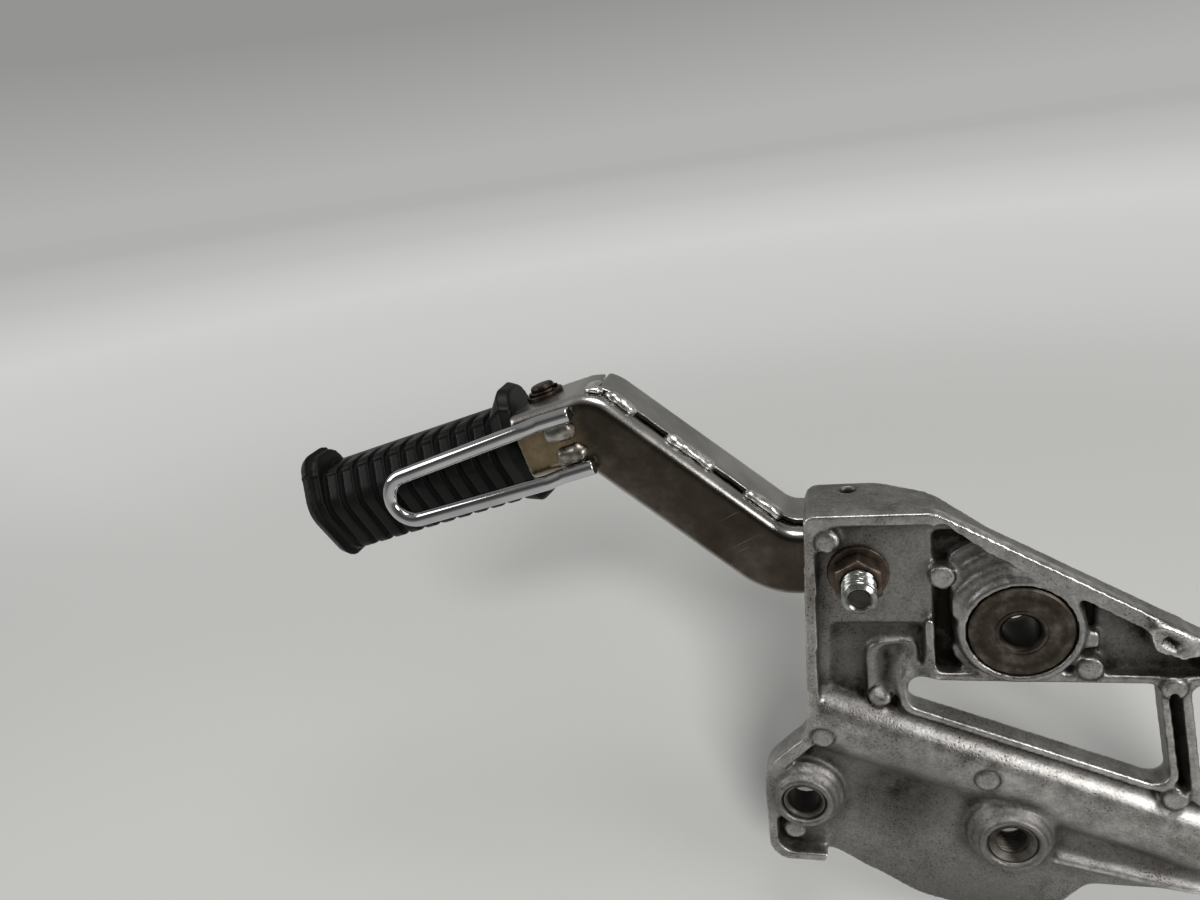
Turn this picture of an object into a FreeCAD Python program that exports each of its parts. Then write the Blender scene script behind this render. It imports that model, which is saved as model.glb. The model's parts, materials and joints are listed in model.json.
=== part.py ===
"""Motorcycle footrest hanger: a cast plate, a welded box arm and a folding passenger peg.

Frame, in millimetres: X runs forward along the plate, Y outward from the machine, Z up.
The origin is the axis of the main bush, on the face of the plate's rim.
"""
import FreeCAD
import Part
import math
import os

V = FreeCAD.Vector

# Cast plate: levels through its depth, from the rim face towards the outer side
FLOOR_Y = 5.0
DEEP_FLOOR_Y = 7.9
LOW_POCKET_Y = 6.6
WEB = 4.5
WEB_BACK_Y = FLOOR_Y + WEB
RIM_WALL = 3.5
LIP_WALL = 2.6
LIP_Y = 1.2

# Cast plate: outline in X and Z
LEFT_TOP_X = -59.3
LEFT_LOW_X = -62.6
TOP_Z = 38.5
RAIL_START_X = -22.5
RAIL_SLOPE = -0.591
NOSE_X = 88.0
LOWER_RAIL_Z = -96.0
NOSE_LEAN = 4.0
NOSE_WALL = 5.0
EAR_LEFT_X = -78.3
EAR_RIGHT_X = -57.0
EAR_LOW_Z = -89.4
EAR_RIM = 3.2
FOOT_X = 12.5
FOOT_Z = -106.5
FACET_SLOPE = 0.13
FACET_OFFSET = -88.1
FACET_ANGLE = 13.0
BELLY_X = -7.0
BELLY_Z = -114.0

# Diagonal beam across the plate: points of its section as (offset, y) pairs
BEAM_ANGLE = 20.5
BEAM_UPPER_FOOT = (-40.9, 4.8)
BEAM_UPPER_FLANK = (-43.9, 0.7)
BEAM_RIDGE = (-48.7, -1.2)
BEAM_LOWER_FLANK = (-57.5, 1.0)
BEAM_LOWER_FOOT = (-65.4, 6.0)

# Ledge below the beam, from the lower boss to the nose, in X and Z
LEDGE_Y = 2.2
LEDGE_UPPER = ((8.0, -74.9), (20.7, -75.4), (26.4, -78.1), (30.2, -82.0), (36.0, -83.2))
LEDGE_LOWER = ((51.4, -85.6), (35.1, -85.3), (29.5, -84.2), (25.2, -82.4), (8.0, -82.4))
LEDGE_DROP = 3.0

# Windows through the plate and the slotted strut between them
WINDOW_TOP_Z = -17.6
WINDOW_LEFT_X = -31.4
WINDOW_RIGHT_X = 36.6
SILL_OFFSET = -36.4
STRUT_LEAN = 0.145
STRUT_WALL = 2.4
STRUT_SLOT = 2.2
STRUT_RIGHT_WALL = 3.4
WINDOW_CORNER = 3.5

# Bosses of the cast plate
BUSH_RING_R = 16.6
BUSH_FLANK = 1.0
BUSH_FLANK_FOOT = 1.8
BUSH_BACK_Y = 15.0
REAR_BOSS_X = -65.2
REAR_BOSS_Z = -63.0
REAR_BOSS_R = 9.75
LOWER_BOSS_X = -1.9
LOWER_BOSS_Z = -75.4
LOWER_BOSS_R = 10.2
BOSS_FRONT_Y = -3.0
BOSS_SHOULDER_Y = -0.4
BOSS_SHOULDER = 1.3
BOSS_FOOT_Y = 1.8
BOSS_FOOT = 3.0
BOSS_DRAFT = 0.4

# Ejector pads: centre in X and Z and the depth of the face
EJECTOR_R = 3.7
EJECTOR_PADS = (
    (-52.8, 29.8, 0.2), (-21.1, 17.1, 1.6), (18.6, -12.8, 0.8), (40.0, -18.4, -0.4),
    (-58.0, -39.0, -0.2), (-9.3, -51.7, -1.7), (42.9, -57.8, 0.6), (-39.9, -25.2, 2.8),
    (-69.3, -77.8, 1.2),
)

# Raised saddle beside the window, with its dish, and the slotted tab under the rail
EAR_PAD = ((-43.4, -6.2), (-28.2, -5.5), (-28.4, -13.6), (-33.8, -16.2), (-34.6, -24.0), (-43.6, -26.0))
EAR_PAD_RADII = (4.0, 2.2, 1.6, 1.6, 0.8, 0.8)
EAR_PAD_Y = 3.2
EAR_DISH = (-35.6, -10.2)
EAR_DISH_R = 3.8
EAR_DISH_DEPTH = 1.0
RAIL_TAB = ((31.4, 6.0), (42.8, 0.2), (45.0, -7.0), (41.5, -8.4), (34.2, -5.4))
RAIL_TAB_Y = -0.4
TAB_SLOT = ((36.2, 0.2), (40.8, -2.3), (40.3, -4.8), (36.0, -2.3))
TAB_SLOT_Y = 5.0

# Walls of the pockets on the front of the plate
MID_WALL_X = -26.2
MID_WALL = 2.9
MID_WALL_Y = 2.0
MID_WALL_TOP_Z = 2.6
RAIL_DROP = 6.5
LOW_POCKET_X = -53.8
LOW_POCKET_Z = 0.3
LOW_POCKET_CORNER = 2.4
BUSH_POCKET_X = -2.3
BUSH_STEPS = ((20.9, 1.8), (25.1, 3.6), (29.3, 5.4))
BUSH_STEPS_X = -18.5
RIGHT_POCKET_X = 15.0
RIGHT_POCKET_STEP_X = 20.8
RIGHT_POCKET_END_X = 52.0
RIGHT_POCKET_Y = 5.9

# Webs around the bush: up to the rail, across the pocket on its right, and its foot on the left
RAIL_WEB_LOW_Z = 8.0
RAIL_WEB_Y = 0.9
SIDE_WEB = ((14.5, -2.4), (20.8, -1.2), (21.4, -6.4), (14.5, -7.6))
SIDE_WEB_Y = 2.6
FOOT_WEB = ((-18.8, -5.6), (-13.0, -7.6), (-10.5, -15.0), (-14.2, -15.0), (-18.0, -10.5))
FOOT_WEB_Y = 3.4

# Main bush: steel sleeve with a face disc, rubber ring and end washer
SLEEVE_BORE_R = 5.2
SLEEVE_R = 7.6
FACE_DISC_R = 14.4
FACE_DISC = 3.0
FACE_DISC_Y = 0.0
BUSH_RUBBER_R = 12.4
BUSH_FIT = 0.05
DISC_GAP = 0.45
END_WASHER = 2.0

# Sleeve of the rear boss and thread insert of the lower boss
DOWEL_BORE_R = 5.15
DOWEL_R = 7.2
DOWEL_RECESS = 1.5
INSERT_BORE_R = 5.4
INSERT_R = 7.4
INSERT_RECESS = 1.4
INSERT_CHAMFER = 1.5
BOSS_MOUTH_R = 8.7

# Tapped hole in the top face
TOP_TAP_R = 2.5
TOP_TAP_DEPTH = 7.0
TOP_TAP_X = -46.3
TOP_TAP_Y = 19.8

# Box arm of two pressed channels
SHEET = 2.5
ARM_HEIGHT = 22.0
ARM_DEPTH = 26.5
ARM_FRONT_Y = WEB_BACK_Y
ARM_BACK_Y = ARM_FRONT_Y + ARM_DEPTH
ARM_END_X = -33.0
ARM_LEVEL_Z = 17.8
ARM_RISE = 41.4
LOW_ELBOW_X = -68.7
ELBOW_RUN = 72.8
LUG_FALL = 14.0
LOW_ELBOW_INNER = 9.0
LOW_ELBOW_OUTER = 26.0
HIGH_ELBOW_INNER = 3.0
HIGH_ELBOW_OUTER = 14.0
PRESS_RADIUS = 3.4
FRONT_FLANGE = 6.0
SEAM_GAP = 1.2
REAR_RISE = 1.6
REAR_DROP = 0.8
ARM_SEAT_GAP = 0.3

# Nest of the arm on the outer side of the plate
BLOCK_BACK_Y = 25.0
BLOCK_RIGHT_X = -37.0
NEST_DEPTH = 9.5
NEST_WALL = 4.0

# Bolt that holds the arm to the plate
BOLT_X = -44.5
BOLT_R = 5.0
BOLT_LENGTH = 50.0
BOLT_HEAD = 6.4
BOLT_FLATS = 17.0
BOLT_HOLE_R = 5.3
NUT_FLATS = 13.4
NUT_HEIGHT = 6.6
NUT_WASHER_R = 9.0
NUT_WASHER = 1.6
BOLT_WASHER_R = 10.0
BOLT_WASHER = 2.0
SPACER_WALL = 1.6
SPACER_R = BOLT_HOLE_R + SPACER_WALL

# Pivot of the peg in the lugs of the front channel
PIN_RUN = 15.4
PIN_DEPTH = 18.4
PIN_R = 4.0
PIN_FIT = 0.05
LUG_R = 8.5
LUG_REACH = 8.0
LUG_CUT_GAP = 1.1
PIN_HEAD_R = 6.0
PIN_HEAD = 2.6
PIN_TIP = 1.8
PIN_GROOVE_R = 3.0
PIN_WASHER_R = 6.2
PIN_WASHER = 1.4
CLIP_R = 5.2
CLIP = 1.0
THRUST_WASHER_R = 7.2
THRUST_WASHER = 1.4
TANG_CLEARANCE = 0.3

# Steel core of the peg
TANG_R = 7.4
HEEL_WIDTH = 9.0
NECK_HALF = 5.6
HEEL_CLEARANCE = 0.35
CORE_R = 6.0
CORE_FIT = 0.05

# Rubber of the peg; the section is measured from the core's axis
RUBBER_START = 9.8
RUBBER_LENGTH = 86.0
BODY_TOP = 12.0
BODY_TOP_HALF = 7.6
BODY_SIDE_HALF = 14.4
BODY_BOTTOM = 20.0
INNER_LIP = 3.4
INNER_CONE = 5.6
OUTER_LIP = 3.6
OUTER_STEP = 3.6
LIP_TOP = 6.8
LIP_SIDE = 2.2
LIP_BOTTOM = 2.2
LIP_HALF = 0.6
LIP_INSET = 1.6
RIB_COUNT = 10
GROOVE = 2.4
GROOVE_DEPTH = 1.8
RUBBER_CAP = 3.0
BODY_CORNERS = (5.0, 5.0, 9.0, 5.0, 5.0, 9.0)
LIP_CORNERS = (7.0, 7.0, 12.0, 7.0, 7.0, 12.0)
SPINE_FRONT = 1.0

# Guard loop of bent wire: its ends lie on the face of the arm, its legs stand off by a joggle
WIRE_R = 2.5
LOOP_JOGGLE = 1.8
LOOP_JOGGLE_RUN = 4.0
LOOP_UPPER_END = (-127.0, 72.3)
LOOP_UPPER_KINK = (-142.3, 68.7)
LOOP_LOWER_END = (-121.5, 54.9)
LOOP_LOWER_KINK = (-137.0, 50.9)
LOOP_TIP_X = -192.7
LOOP_TIP_UPPER_Z = 53.6
LOOP_TIP_LOWER_Z = 37.8
LOOP_TIP_RADIUS = 7.7
KINK_RADIUS = 4.0

# Weld beads: places along the sloping arm, counted from the low elbow
BEAD_R = 2.6
BEAD_SINK = 0.35
TOP_BEADS = ((9.5, 18.5), (35.5, 48.5), (65.5, 71.5))
LOW_BEADS = ((12.0, 17.0), (21.0, 29.0), (49.0, 56.0))
ELBOW_BEAD = 5.0
BLOB_RUN = 6.4
BLOB_LENGTH = 4.4
BLOB_R = 3.4
BLOB_RAISE = 2.8
BLOB_FIT = 0.05

# Crown of hexagon heads: face radius as a share of the flats, and the cone's spread
CROWN_SHARE = 0.47
CROWN_SPREAD = 1.8

# Working margin that carries a cut past the surface it opens
OVER = 1.0


def rounded_edges(corners, radii, closed=True):
    """Edges of a line through corners in space, each corner rounded by a tangent arc.

    Args:
        corners: Corners as vectors, in order.
        radii: One radius per corner; nought keeps a corner sharp.
        closed: Whether the last corner joins the first.

    Returns:
        The line and arc edges, in order.
    """
    count = len(corners)
    stops = []
    for index, corner in enumerate(corners):
        radius = radii[index]
        ends = not closed and index in (0, count - 1)
        if ends or radius == 0:
            stops.append((corner, None, corner))
            continue
        before = (corners[index - 1] - corner).normalize()
        after = (corners[(index + 1) % count] - corner).normalize()
        half = before.getAngle(after) / 2
        reach = radius / math.tan(half)
        bisector = (before + after).normalize()
        middle = corner + bisector * (radius / math.sin(half) - radius)
        stops.append((corner + before * reach, middle, corner + after * reach))
    edges = []
    for index, (start, middle, end) in enumerate(stops):
        if middle is not None:
            edges.append(Part.Arc(start, middle, end).toShape())
        if closed or index < count - 1:
            following = stops[(index + 1) % count][0]
            if end.distanceToPoint(following) > 1e-6:
                edges.append(Part.LineSegment(end, following).toShape())
    return edges


def flat(points):
    """Corners on the plane Y = 0 from (x, z) pairs."""
    return [V(x, 0, z) for x, z in points]


def outline_face(points, radii):
    """Flat face of a rounded outline on the plane Y = 0; one radius may serve every corner."""
    if not isinstance(radii, (list, tuple)):
        radii = [radii] * len(points)
    return Part.Face(Part.Wire(rounded_edges(flat(points), radii)))


def prism(points, radii, start_y, end_y):
    """Solid of a rounded outline in X and Z carried from one depth to another."""
    face = outline_face(points, radii)
    face.translate(V(0, start_y, 0))
    return face.extrude(V(0, end_y - start_y, 0))


def slab(points, radii, low_z, high_z):
    """Solid of a rounded outline in X and Y carried from one height to another."""
    face = outline_face(points, radii)
    face.rotate(V(0, 0, 0), V(1, 0, 0), -90)
    face.translate(V(0, 0, low_z))
    return face.extrude(V(0, 0, high_z - low_z))


def turned(profile, x, z):
    """Solid of a profile of (radius, y) pairs turned about an axis along Y."""
    corners = [V(radius, y, 0) for radius, y in profile]
    face = Part.Face(Part.makePolygon(corners + corners[:1]))
    solid = face.revolve(V(0, 0, 0), V(0, 1, 0), 360)
    solid.translate(V(x, 0, z))
    return solid


def disc(x, z, radius, start_y, end_y):
    """Round solid along Y between two depths."""
    return Part.makeCylinder(radius, end_y - start_y, V(x, start_y, z), V(0, 1, 0))


def ring(x, z, outer, inner, start_y, end_y):
    """Tube along Y between two depths."""
    bore = disc(x, z, inner, start_y - OVER, end_y + OVER)
    return disc(x, z, outer, start_y, end_y).cut(bore)


def hexagon(x, z, flats, start_y, end_y):
    """Hexagonal solid along Y with a corner at the top."""
    radius = flats / math.sqrt(3)
    corners = []
    for step in range(6):
        angle = math.radians(90 + 60 * step)
        corners.append((x + radius * math.cos(angle), z + radius * math.sin(angle)))
    return prism(corners, 0, start_y, end_y)


def crowned_hexagon(x, z, flats, start_y, end_y, crown_at_start):
    """Hexagonal solid along Y whose one face is turned to a shallow cone."""
    body = hexagon(x, z, flats, start_y, end_y)
    height = end_y - start_y
    face_r = flats * CROWN_SHARE
    base = V(x, start_y, z) if crown_at_start else V(x, end_y, z)
    along = V(0, 1, 0) if crown_at_start else V(0, -1, 0)
    cone = Part.makeCone(face_r, face_r + height * CROWN_SPREAD, height, base, along)
    return body.common(cone)


def rail_z(x):
    """Height of the plate's sloping top rail at a place along it."""
    return TOP_Z + RAIL_SLOPE * (x - RAIL_START_X)


def beam_line(offset, x):
    """Height at x of the line that runs along the beam at an offset from the origin."""
    lean = math.radians(BEAM_ANGLE)
    return (offset - x * math.sin(lean)) / math.cos(lean)


def strut_x(start, z):
    """Place along X of an edge of the leaning strut, from its place under the lintel."""
    return start + STRUT_LEAN * (WINDOW_TOP_Z - z)


def sill_corner(start):
    """Corner where a leaning strut edge meets the sill of the windows."""
    lean = math.radians(BEAM_ANGLE)
    top = start + STRUT_LEAN * WINDOW_TOP_Z
    z = (SILL_OFFSET - top * math.sin(lean)) / (math.cos(lean) - STRUT_LEAN * math.sin(lean))
    return (strut_x(start, z), z)


def plate_outline(start_y, end_y):
    """The outline of the cast plate carried between two depths."""
    points = [
        (LEFT_TOP_X, TOP_Z), (RAIL_START_X, TOP_Z), (NOSE_X, rail_z(NOSE_X)),
        (NOSE_X + NOSE_LEAN, LOWER_RAIL_Z), (FOOT_X + 9.0, LOWER_RAIL_Z), (FOOT_X, FOOT_Z),
        (BELLY_X, BELLY_Z), (BELLY_X - 21.0, BELLY_Z + 5.0), (EAR_RIGHT_X, EAR_LOW_Z),
        (EAR_LEFT_X, EAR_LOW_Z), (EAR_LEFT_X + 1.0, -52.0), (LEFT_LOW_X, -38.0),
    ]
    radii = [3.0, 8.0, 14.0, 16.0, 6.0, 8.0, 20.0, 15.0, 4.0, 8.0, 14.0, 8.0]
    return prism(points, radii, start_y, end_y)


def plate_cavity(start_y, end_y):
    """The hollow of the plate's front inside its rim, open along the lower edge."""
    nose = NOSE_X - NOSE_WALL
    low = LOWER_RAIL_Z + RIM_WALL
    open_z = BELLY_Z - 10.0
    points = [
        (LEFT_TOP_X + RIM_WALL, TOP_Z - RIM_WALL), (RAIL_START_X - 2.0, TOP_Z - RIM_WALL),
        (nose, rail_z(nose) - RAIL_DROP), (nose + NOSE_LEAN, low), (nose - 14.0, low),
        (nose - 18.0, open_z), (EAR_RIGHT_X + 5.0, open_z), (EAR_RIGHT_X + 3.0, EAR_LOW_Z + EAR_RIM),
        (EAR_LEFT_X + EAR_RIM, EAR_LOW_Z + EAR_RIM), (EAR_LEFT_X + EAR_RIM + 1.0, -55.0),
        (LEFT_LOW_X + RIM_WALL, -40.0),
    ]
    radii = [3.0, 6.0, 8.0, 8.0, 2.0, 0.0, 0.0, 2.0, 6.0, 10.0, 6.0]
    return prism(points, radii, start_y, end_y)


def window_outline(grow):
    """Corners of the long window, moved outward for the lip around it."""
    lower = SILL_OFFSET - grow
    left = WINDOW_LEFT_X - grow
    right_x, right_z = sill_corner(WINDOW_RIGHT_X + grow)
    return [
        (left, WINDOW_TOP_Z + grow), (WINDOW_RIGHT_X + grow, WINDOW_TOP_Z + grow),
        (right_x, right_z - grow), (left, beam_line(lower, left)),
    ]


def second_window(grow):
    """Corners of the window beyond the strut, under the falling rail."""
    start = WINDOW_RIGHT_X + STRUT_WALL + STRUT_SLOT + STRUT_RIGHT_WALL - grow
    roof = RAIL_DROP + 2.5 - grow
    turn = RAIL_START_X + (WINDOW_TOP_Z + roof - TOP_Z) / RAIL_SLOPE
    end = NOSE_X - 14.0 + grow
    corner_x, corner_z = sill_corner(start)
    return [
        (start, WINDOW_TOP_Z), (turn, WINDOW_TOP_Z), (end, rail_z(end) - roof),
        (end, beam_line(SILL_OFFSET - grow, end)), (corner_x, corner_z - grow),
    ]


def strut_slot():
    """Corners of the narrow slot down the strut between the windows."""
    left = WINDOW_RIGHT_X + STRUT_WALL
    right = left + STRUT_SLOT
    low_left = sill_corner(left)
    low_right = sill_corner(right)
    return [(left, WINDOW_TOP_Z - 2.0), (right, WINDOW_TOP_Z - 2.0), low_right, low_left]


def beam():
    """The rounded beam that crosses the plate on the slope."""
    lean = math.radians(BEAM_ANGLE)
    along = V(math.cos(lean), 0, -math.sin(lean))
    across = V(math.sin(lean), 0, math.cos(lean))
    start = along * (EAR_LEFT_X / math.cos(lean))
    reach = (NOSE_X - EAR_LEFT_X - BEAM_LOWER_FOOT[0]) / math.cos(lean)

    def place(pair):
        return start + across * pair[0] + V(0, pair[1], 0)

    upper_back = place((BEAM_UPPER_FOOT[0], WEB_BACK_Y))
    lower_back = place((BEAM_LOWER_FOOT[0], WEB_BACK_Y))
    edges = [
        Part.Arc(place(BEAM_UPPER_FOOT), place(BEAM_UPPER_FLANK), place(BEAM_RIDGE)).toShape(),
        Part.Arc(place(BEAM_RIDGE), place(BEAM_LOWER_FLANK), place(BEAM_LOWER_FOOT)).toShape(),
        Part.LineSegment(place(BEAM_LOWER_FOOT), lower_back).toShape(),
        Part.LineSegment(lower_back, upper_back).toShape(),
        Part.LineSegment(upper_back, place(BEAM_UPPER_FOOT)).toShape(),
    ]
    return Part.Face(Part.Wire(edges)).extrude(along * reach)


def stepped_boss(x, z, radius):
    """Round boss with a drafted side, a shoulder and a wider foot."""
    profile = [
        (0.0, BOSS_FRONT_Y), (radius - BOSS_DRAFT, BOSS_FRONT_Y), (radius, BOSS_SHOULDER_Y),
        (radius + BOSS_SHOULDER, BOSS_SHOULDER_Y), (radius + BOSS_SHOULDER + BOSS_DRAFT, BOSS_FOOT_Y),
        (radius + BOSS_FOOT, BOSS_FOOT_Y), (radius + BOSS_FOOT + BOSS_DRAFT, WEB_BACK_Y), (0.0, WEB_BACK_Y),
    ]
    return turned(profile, x, z)


def bush_boss():
    """Boss around the main bush, drafted outside and carried past the outer face."""
    profile = [
        (0.0, 0.0), (BUSH_RING_R, 0.0), (BUSH_RING_R + BUSH_FLANK, 1.6),
        (BUSH_RING_R + BUSH_FLANK_FOOT, DEEP_FLOOR_Y), (BUSH_RING_R + BUSH_FLANK_FOOT, WEB_BACK_Y),
        (BUSH_RING_R - BOSS_DRAFT, BUSH_BACK_Y), (0.0, BUSH_BACK_Y),
    ]
    return turned(profile, 0.0, 0.0)


def nest_of_arm():
    """Block, ledge and end wall on the outer side, between which the arm is seated."""
    seat_top = ARM_LEVEL_Z + ARM_HEIGHT / 2 + REAR_RISE + ARM_SEAT_GAP
    seat_low = ARM_LEVEL_Z - ARM_HEIGHT / 2 - REAR_DROP - ARM_SEAT_GAP
    top_block = slab(
        [(LEFT_TOP_X, FLOOR_Y), (LEFT_TOP_X, BLOCK_BACK_Y), (BLOCK_RIGHT_X, BLOCK_BACK_Y),
         (RAIL_START_X, BLOCK_BACK_Y - NEST_DEPTH), (RAIL_START_X + 14.0, WEB_BACK_Y),
         (RAIL_START_X + 14.0, FLOOR_Y)],
        [0.0, 4.0, 8.0, 8.0, 0.0, 0.0], seat_top, TOP_Z)
    wall_x = ARM_END_X + ARM_SEAT_GAP
    nest_y = WEB_BACK_Y + NEST_DEPTH
    low_z = seat_low - NEST_WALL
    ledge = prism(
        [(LEFT_TOP_X, low_z), (wall_x + NEST_WALL, low_z), (wall_x + NEST_WALL, low_z + NEST_WALL),
         (LEFT_TOP_X, low_z + NEST_WALL)], 0.8, FLOOR_Y, nest_y)
    wall = prism(
        [(wall_x, low_z + 1.0), (wall_x + NEST_WALL, low_z), (wall_x + NEST_WALL, TOP_Z - 6.0),
         (wall_x, TOP_Z - 6.0)], 0.8, FLOOR_Y, nest_y)
    return [top_block.common(plate_outline(FLOOR_Y, BLOCK_BACK_Y + OVER)), ledge, wall]


def belly_facet():
    """Wedge that leaves the lower edge of the plate's front sloping back."""
    lean = math.radians(FACET_ANGLE)
    along = V(math.cos(lean), 0, -math.sin(lean))
    across = V(math.sin(lean), 0, math.cos(lean))
    start = along * ((EAR_RIGHT_X - across.x * FACET_OFFSET) / along.x) + across * FACET_OFFSET
    drop = across * (BELLY_Z / 2)
    slope_end = FLOOR_Y + FACET_SLOPE * drop.Length
    corners = [start + V(0, FLOOR_Y, 0), start + drop + V(0, slope_end, 0), start + drop, start]
    face = Part.Face(Part.makePolygon(corners + corners[:1]))
    return face.extrude(along * (FOOT_X - EAR_RIGHT_X) / math.cos(lean))


def ear_dish():
    """Ball that leaves the shallow dish of the saddle."""
    ball_r = (EAR_DISH_R ** 2 + EAR_DISH_DEPTH ** 2) / (2 * EAR_DISH_DEPTH)
    x, z = EAR_DISH
    return Part.makeSphere(ball_r, V(x, EAR_PAD_Y + EAR_DISH_DEPTH - ball_r, z))


def hanger_plate():
    """Cast plate with its pockets, beam, bosses, windows and seats."""
    body = plate_outline(0.0, WEB_BACK_Y)
    body = body.cut([plate_cavity(-OVER, FLOOR_Y), belly_facet()])
    mid_right = MID_WALL_X + MID_WALL
    lintel_z = WINDOW_TOP_Z + LIP_WALL
    lip_left = WINDOW_LEFT_X - LIP_WALL
    low_pocket = [
        (LOW_POCKET_X, LOW_POCKET_Z), (MID_WALL_X, LOW_POCKET_Z), (MID_WALL_X, lintel_z),
        (lip_left, lintel_z), (lip_left, beam_line(BEAM_UPPER_FOOT[0], lip_left)),
        (LOW_POCKET_X - OVER, beam_line(BEAM_UPPER_FOOT[0], LOW_POCKET_X - OVER)),
    ]
    bush_pocket = [
        (mid_right, TOP_Z - RIM_WALL), (RAIL_START_X + 2.0, TOP_Z - RIM_WALL),
        (BUSH_POCKET_X, rail_z(BUSH_POCKET_X) - RAIL_DROP), (BUSH_POCKET_X, lintel_z), (mid_right, lintel_z),
    ]
    low_radii = [LOW_POCKET_CORNER, LOW_POCKET_CORNER, 1.0, 0.0, 1.0, 1.0]
    body = body.cut(prism(low_pocket, low_radii, 0.0, LOW_POCKET_Y))
    body = body.cut(prism(bush_pocket, 1.5, 0.0, DEEP_FLOOR_Y))
    for left, right, floor in ((RIGHT_POCKET_X, RIGHT_POCKET_STEP_X, DEEP_FLOOR_Y),
                               (RIGHT_POCKET_X, RIGHT_POCKET_END_X, RIGHT_POCKET_Y)):
        right_pocket = [(left, rail_z(left) - RAIL_DROP), (right, rail_z(right) - RAIL_DROP),
                        (right, lintel_z), (left, lintel_z)]
        body = body.cut(prism(right_pocket, 1.5, 0.0, floor))
    inside = plate_cavity(BOSS_FRONT_Y - OVER, WEB_BACK_Y)
    additions = [beam().common(inside)]
    mid_wall = [(MID_WALL_X, lintel_z - OVER), (mid_right, lintel_z - OVER), (mid_right, MID_WALL_TOP_Z),
                (MID_WALL_X, MID_WALL_TOP_Z)]
    additions.append(prism(mid_wall, [0.0, 0.0, MID_WALL * 0.4, MID_WALL * 0.4], MID_WALL_Y, WEB_BACK_Y))
    lintel_end = RIGHT_POCKET_END_X + 10.0
    lintel = [(WINDOW_LEFT_X, WINDOW_TOP_Z), (lintel_end, WINDOW_TOP_Z),
              (lintel_end, rail_z(lintel_end) - 4.0), (RIGHT_POCKET_END_X, lintel_z),
              (WINDOW_LEFT_X, lintel_z)]
    additions.append(prism(lintel, 0.0, LIP_Y, WEB_BACK_Y).common(inside))
    additions.append(prism(window_outline(LIP_WALL), WINDOW_CORNER + LIP_WALL - 0.4, LIP_Y, WEB_BACK_Y))
    additions.append(prism(second_window(LIP_WALL), WINDOW_CORNER, LIP_Y, WEB_BACK_Y).common(inside))
    quarter = prism(
        [(BUSH_STEPS_X, 4.0), (BUSH_POCKET_X, 4.0), (BUSH_POCKET_X, TOP_Z), (BUSH_STEPS_X, TOP_Z)],
        0.0, 0.0, WEB_BACK_Y)
    for radius, front in BUSH_STEPS:
        additions.append(disc(0.0, 0.0, radius, front, WEB_BACK_Y).common(quarter).common(inside))
    rail_web = [(BUSH_POCKET_X, RAIL_WEB_LOW_Z), (BUSH_POCKET_X, rail_z(BUSH_POCKET_X) - RAIL_DROP / 2),
                (RIGHT_POCKET_X, rail_z(RIGHT_POCKET_X) - RAIL_DROP / 2), (RIGHT_POCKET_X, RAIL_WEB_LOW_Z)]
    additions.append(prism(rail_web, 0.0, RAIL_WEB_Y, WEB_BACK_Y))
    additions.append(prism(SIDE_WEB, 1.0, SIDE_WEB_Y, WEB_BACK_Y))
    additions.append(prism(FOOT_WEB, 1.0, FOOT_WEB_Y, WEB_BACK_Y))
    additions.append(prism(EAR_PAD, EAR_PAD_RADII, EAR_PAD_Y, WEB_BACK_Y))
    additions.append(prism(RAIL_TAB, 1.0, RAIL_TAB_Y, WEB_BACK_Y))
    ledge_end = beam_line(BEAM_LOWER_FOOT[0], NOSE_X)
    ledge = [*LEDGE_UPPER, (NOSE_X, ledge_end), (NOSE_X, ledge_end - LEDGE_DROP), *LEDGE_LOWER]
    additions.append(prism(ledge, 0.0, LEDGE_Y, WEB_BACK_Y).common(plate_outline(0.0, WEB_BACK_Y)))
    additions.append(stepped_boss(REAR_BOSS_X, REAR_BOSS_Z, REAR_BOSS_R))
    additions.append(stepped_boss(LOWER_BOSS_X, LOWER_BOSS_Z, LOWER_BOSS_R))
    additions.append(bush_boss())
    for x, z, front in EJECTOR_PADS:
        additions.append(disc(x, z, EJECTOR_R, front, WEB_BACK_Y))
    additions.extend(nest_of_arm())
    body = body.fuse(additions)
    disc_bottom = FACE_DISC_Y + FACE_DISC
    cuts = [
        prism(window_outline(0.0), WINDOW_CORNER, -OVER, BUSH_BACK_Y + OVER),
        prism(second_window(0.0), WINDOW_CORNER, -OVER, WEB_BACK_Y + OVER),
        prism(strut_slot(), 0.8, -OVER, WEB_BACK_Y - 2.0),
        ear_dish(),
        prism(TAB_SLOT, 0.7, 0.0, TAB_SLOT_Y),
        disc(0.0, 0.0, FACE_DISC_R + DISC_GAP, -OVER, disc_bottom),
        disc(0.0, 0.0, BUSH_RUBBER_R, 0.0, BUSH_BACK_Y + OVER),
        disc(REAR_BOSS_X, REAR_BOSS_Z, DOWEL_R, BOSS_FRONT_Y - OVER, WEB_BACK_Y + OVER),
        disc(LOWER_BOSS_X, LOWER_BOSS_Z, INSERT_R, BOSS_FRONT_Y - OVER, WEB_BACK_Y + OVER),
        turned([(0.0, BOSS_FRONT_Y), (BOSS_MOUTH_R, BOSS_FRONT_Y), (INSERT_R, BOSS_FRONT_Y + INSERT_RECESS),
                (0.0, BOSS_FRONT_Y + INSERT_RECESS)], LOWER_BOSS_X, LOWER_BOSS_Z),
        disc(BOLT_X, ARM_LEVEL_Z, BOLT_HOLE_R, 0.0, WEB_BACK_Y + OVER),
        Part.makeCylinder(TOP_TAP_R, TOP_TAP_DEPTH, V(TOP_TAP_X, TOP_TAP_Y, TOP_Z - TOP_TAP_DEPTH)),
    ]
    return body.cut(cuts).removeSplitter()


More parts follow.
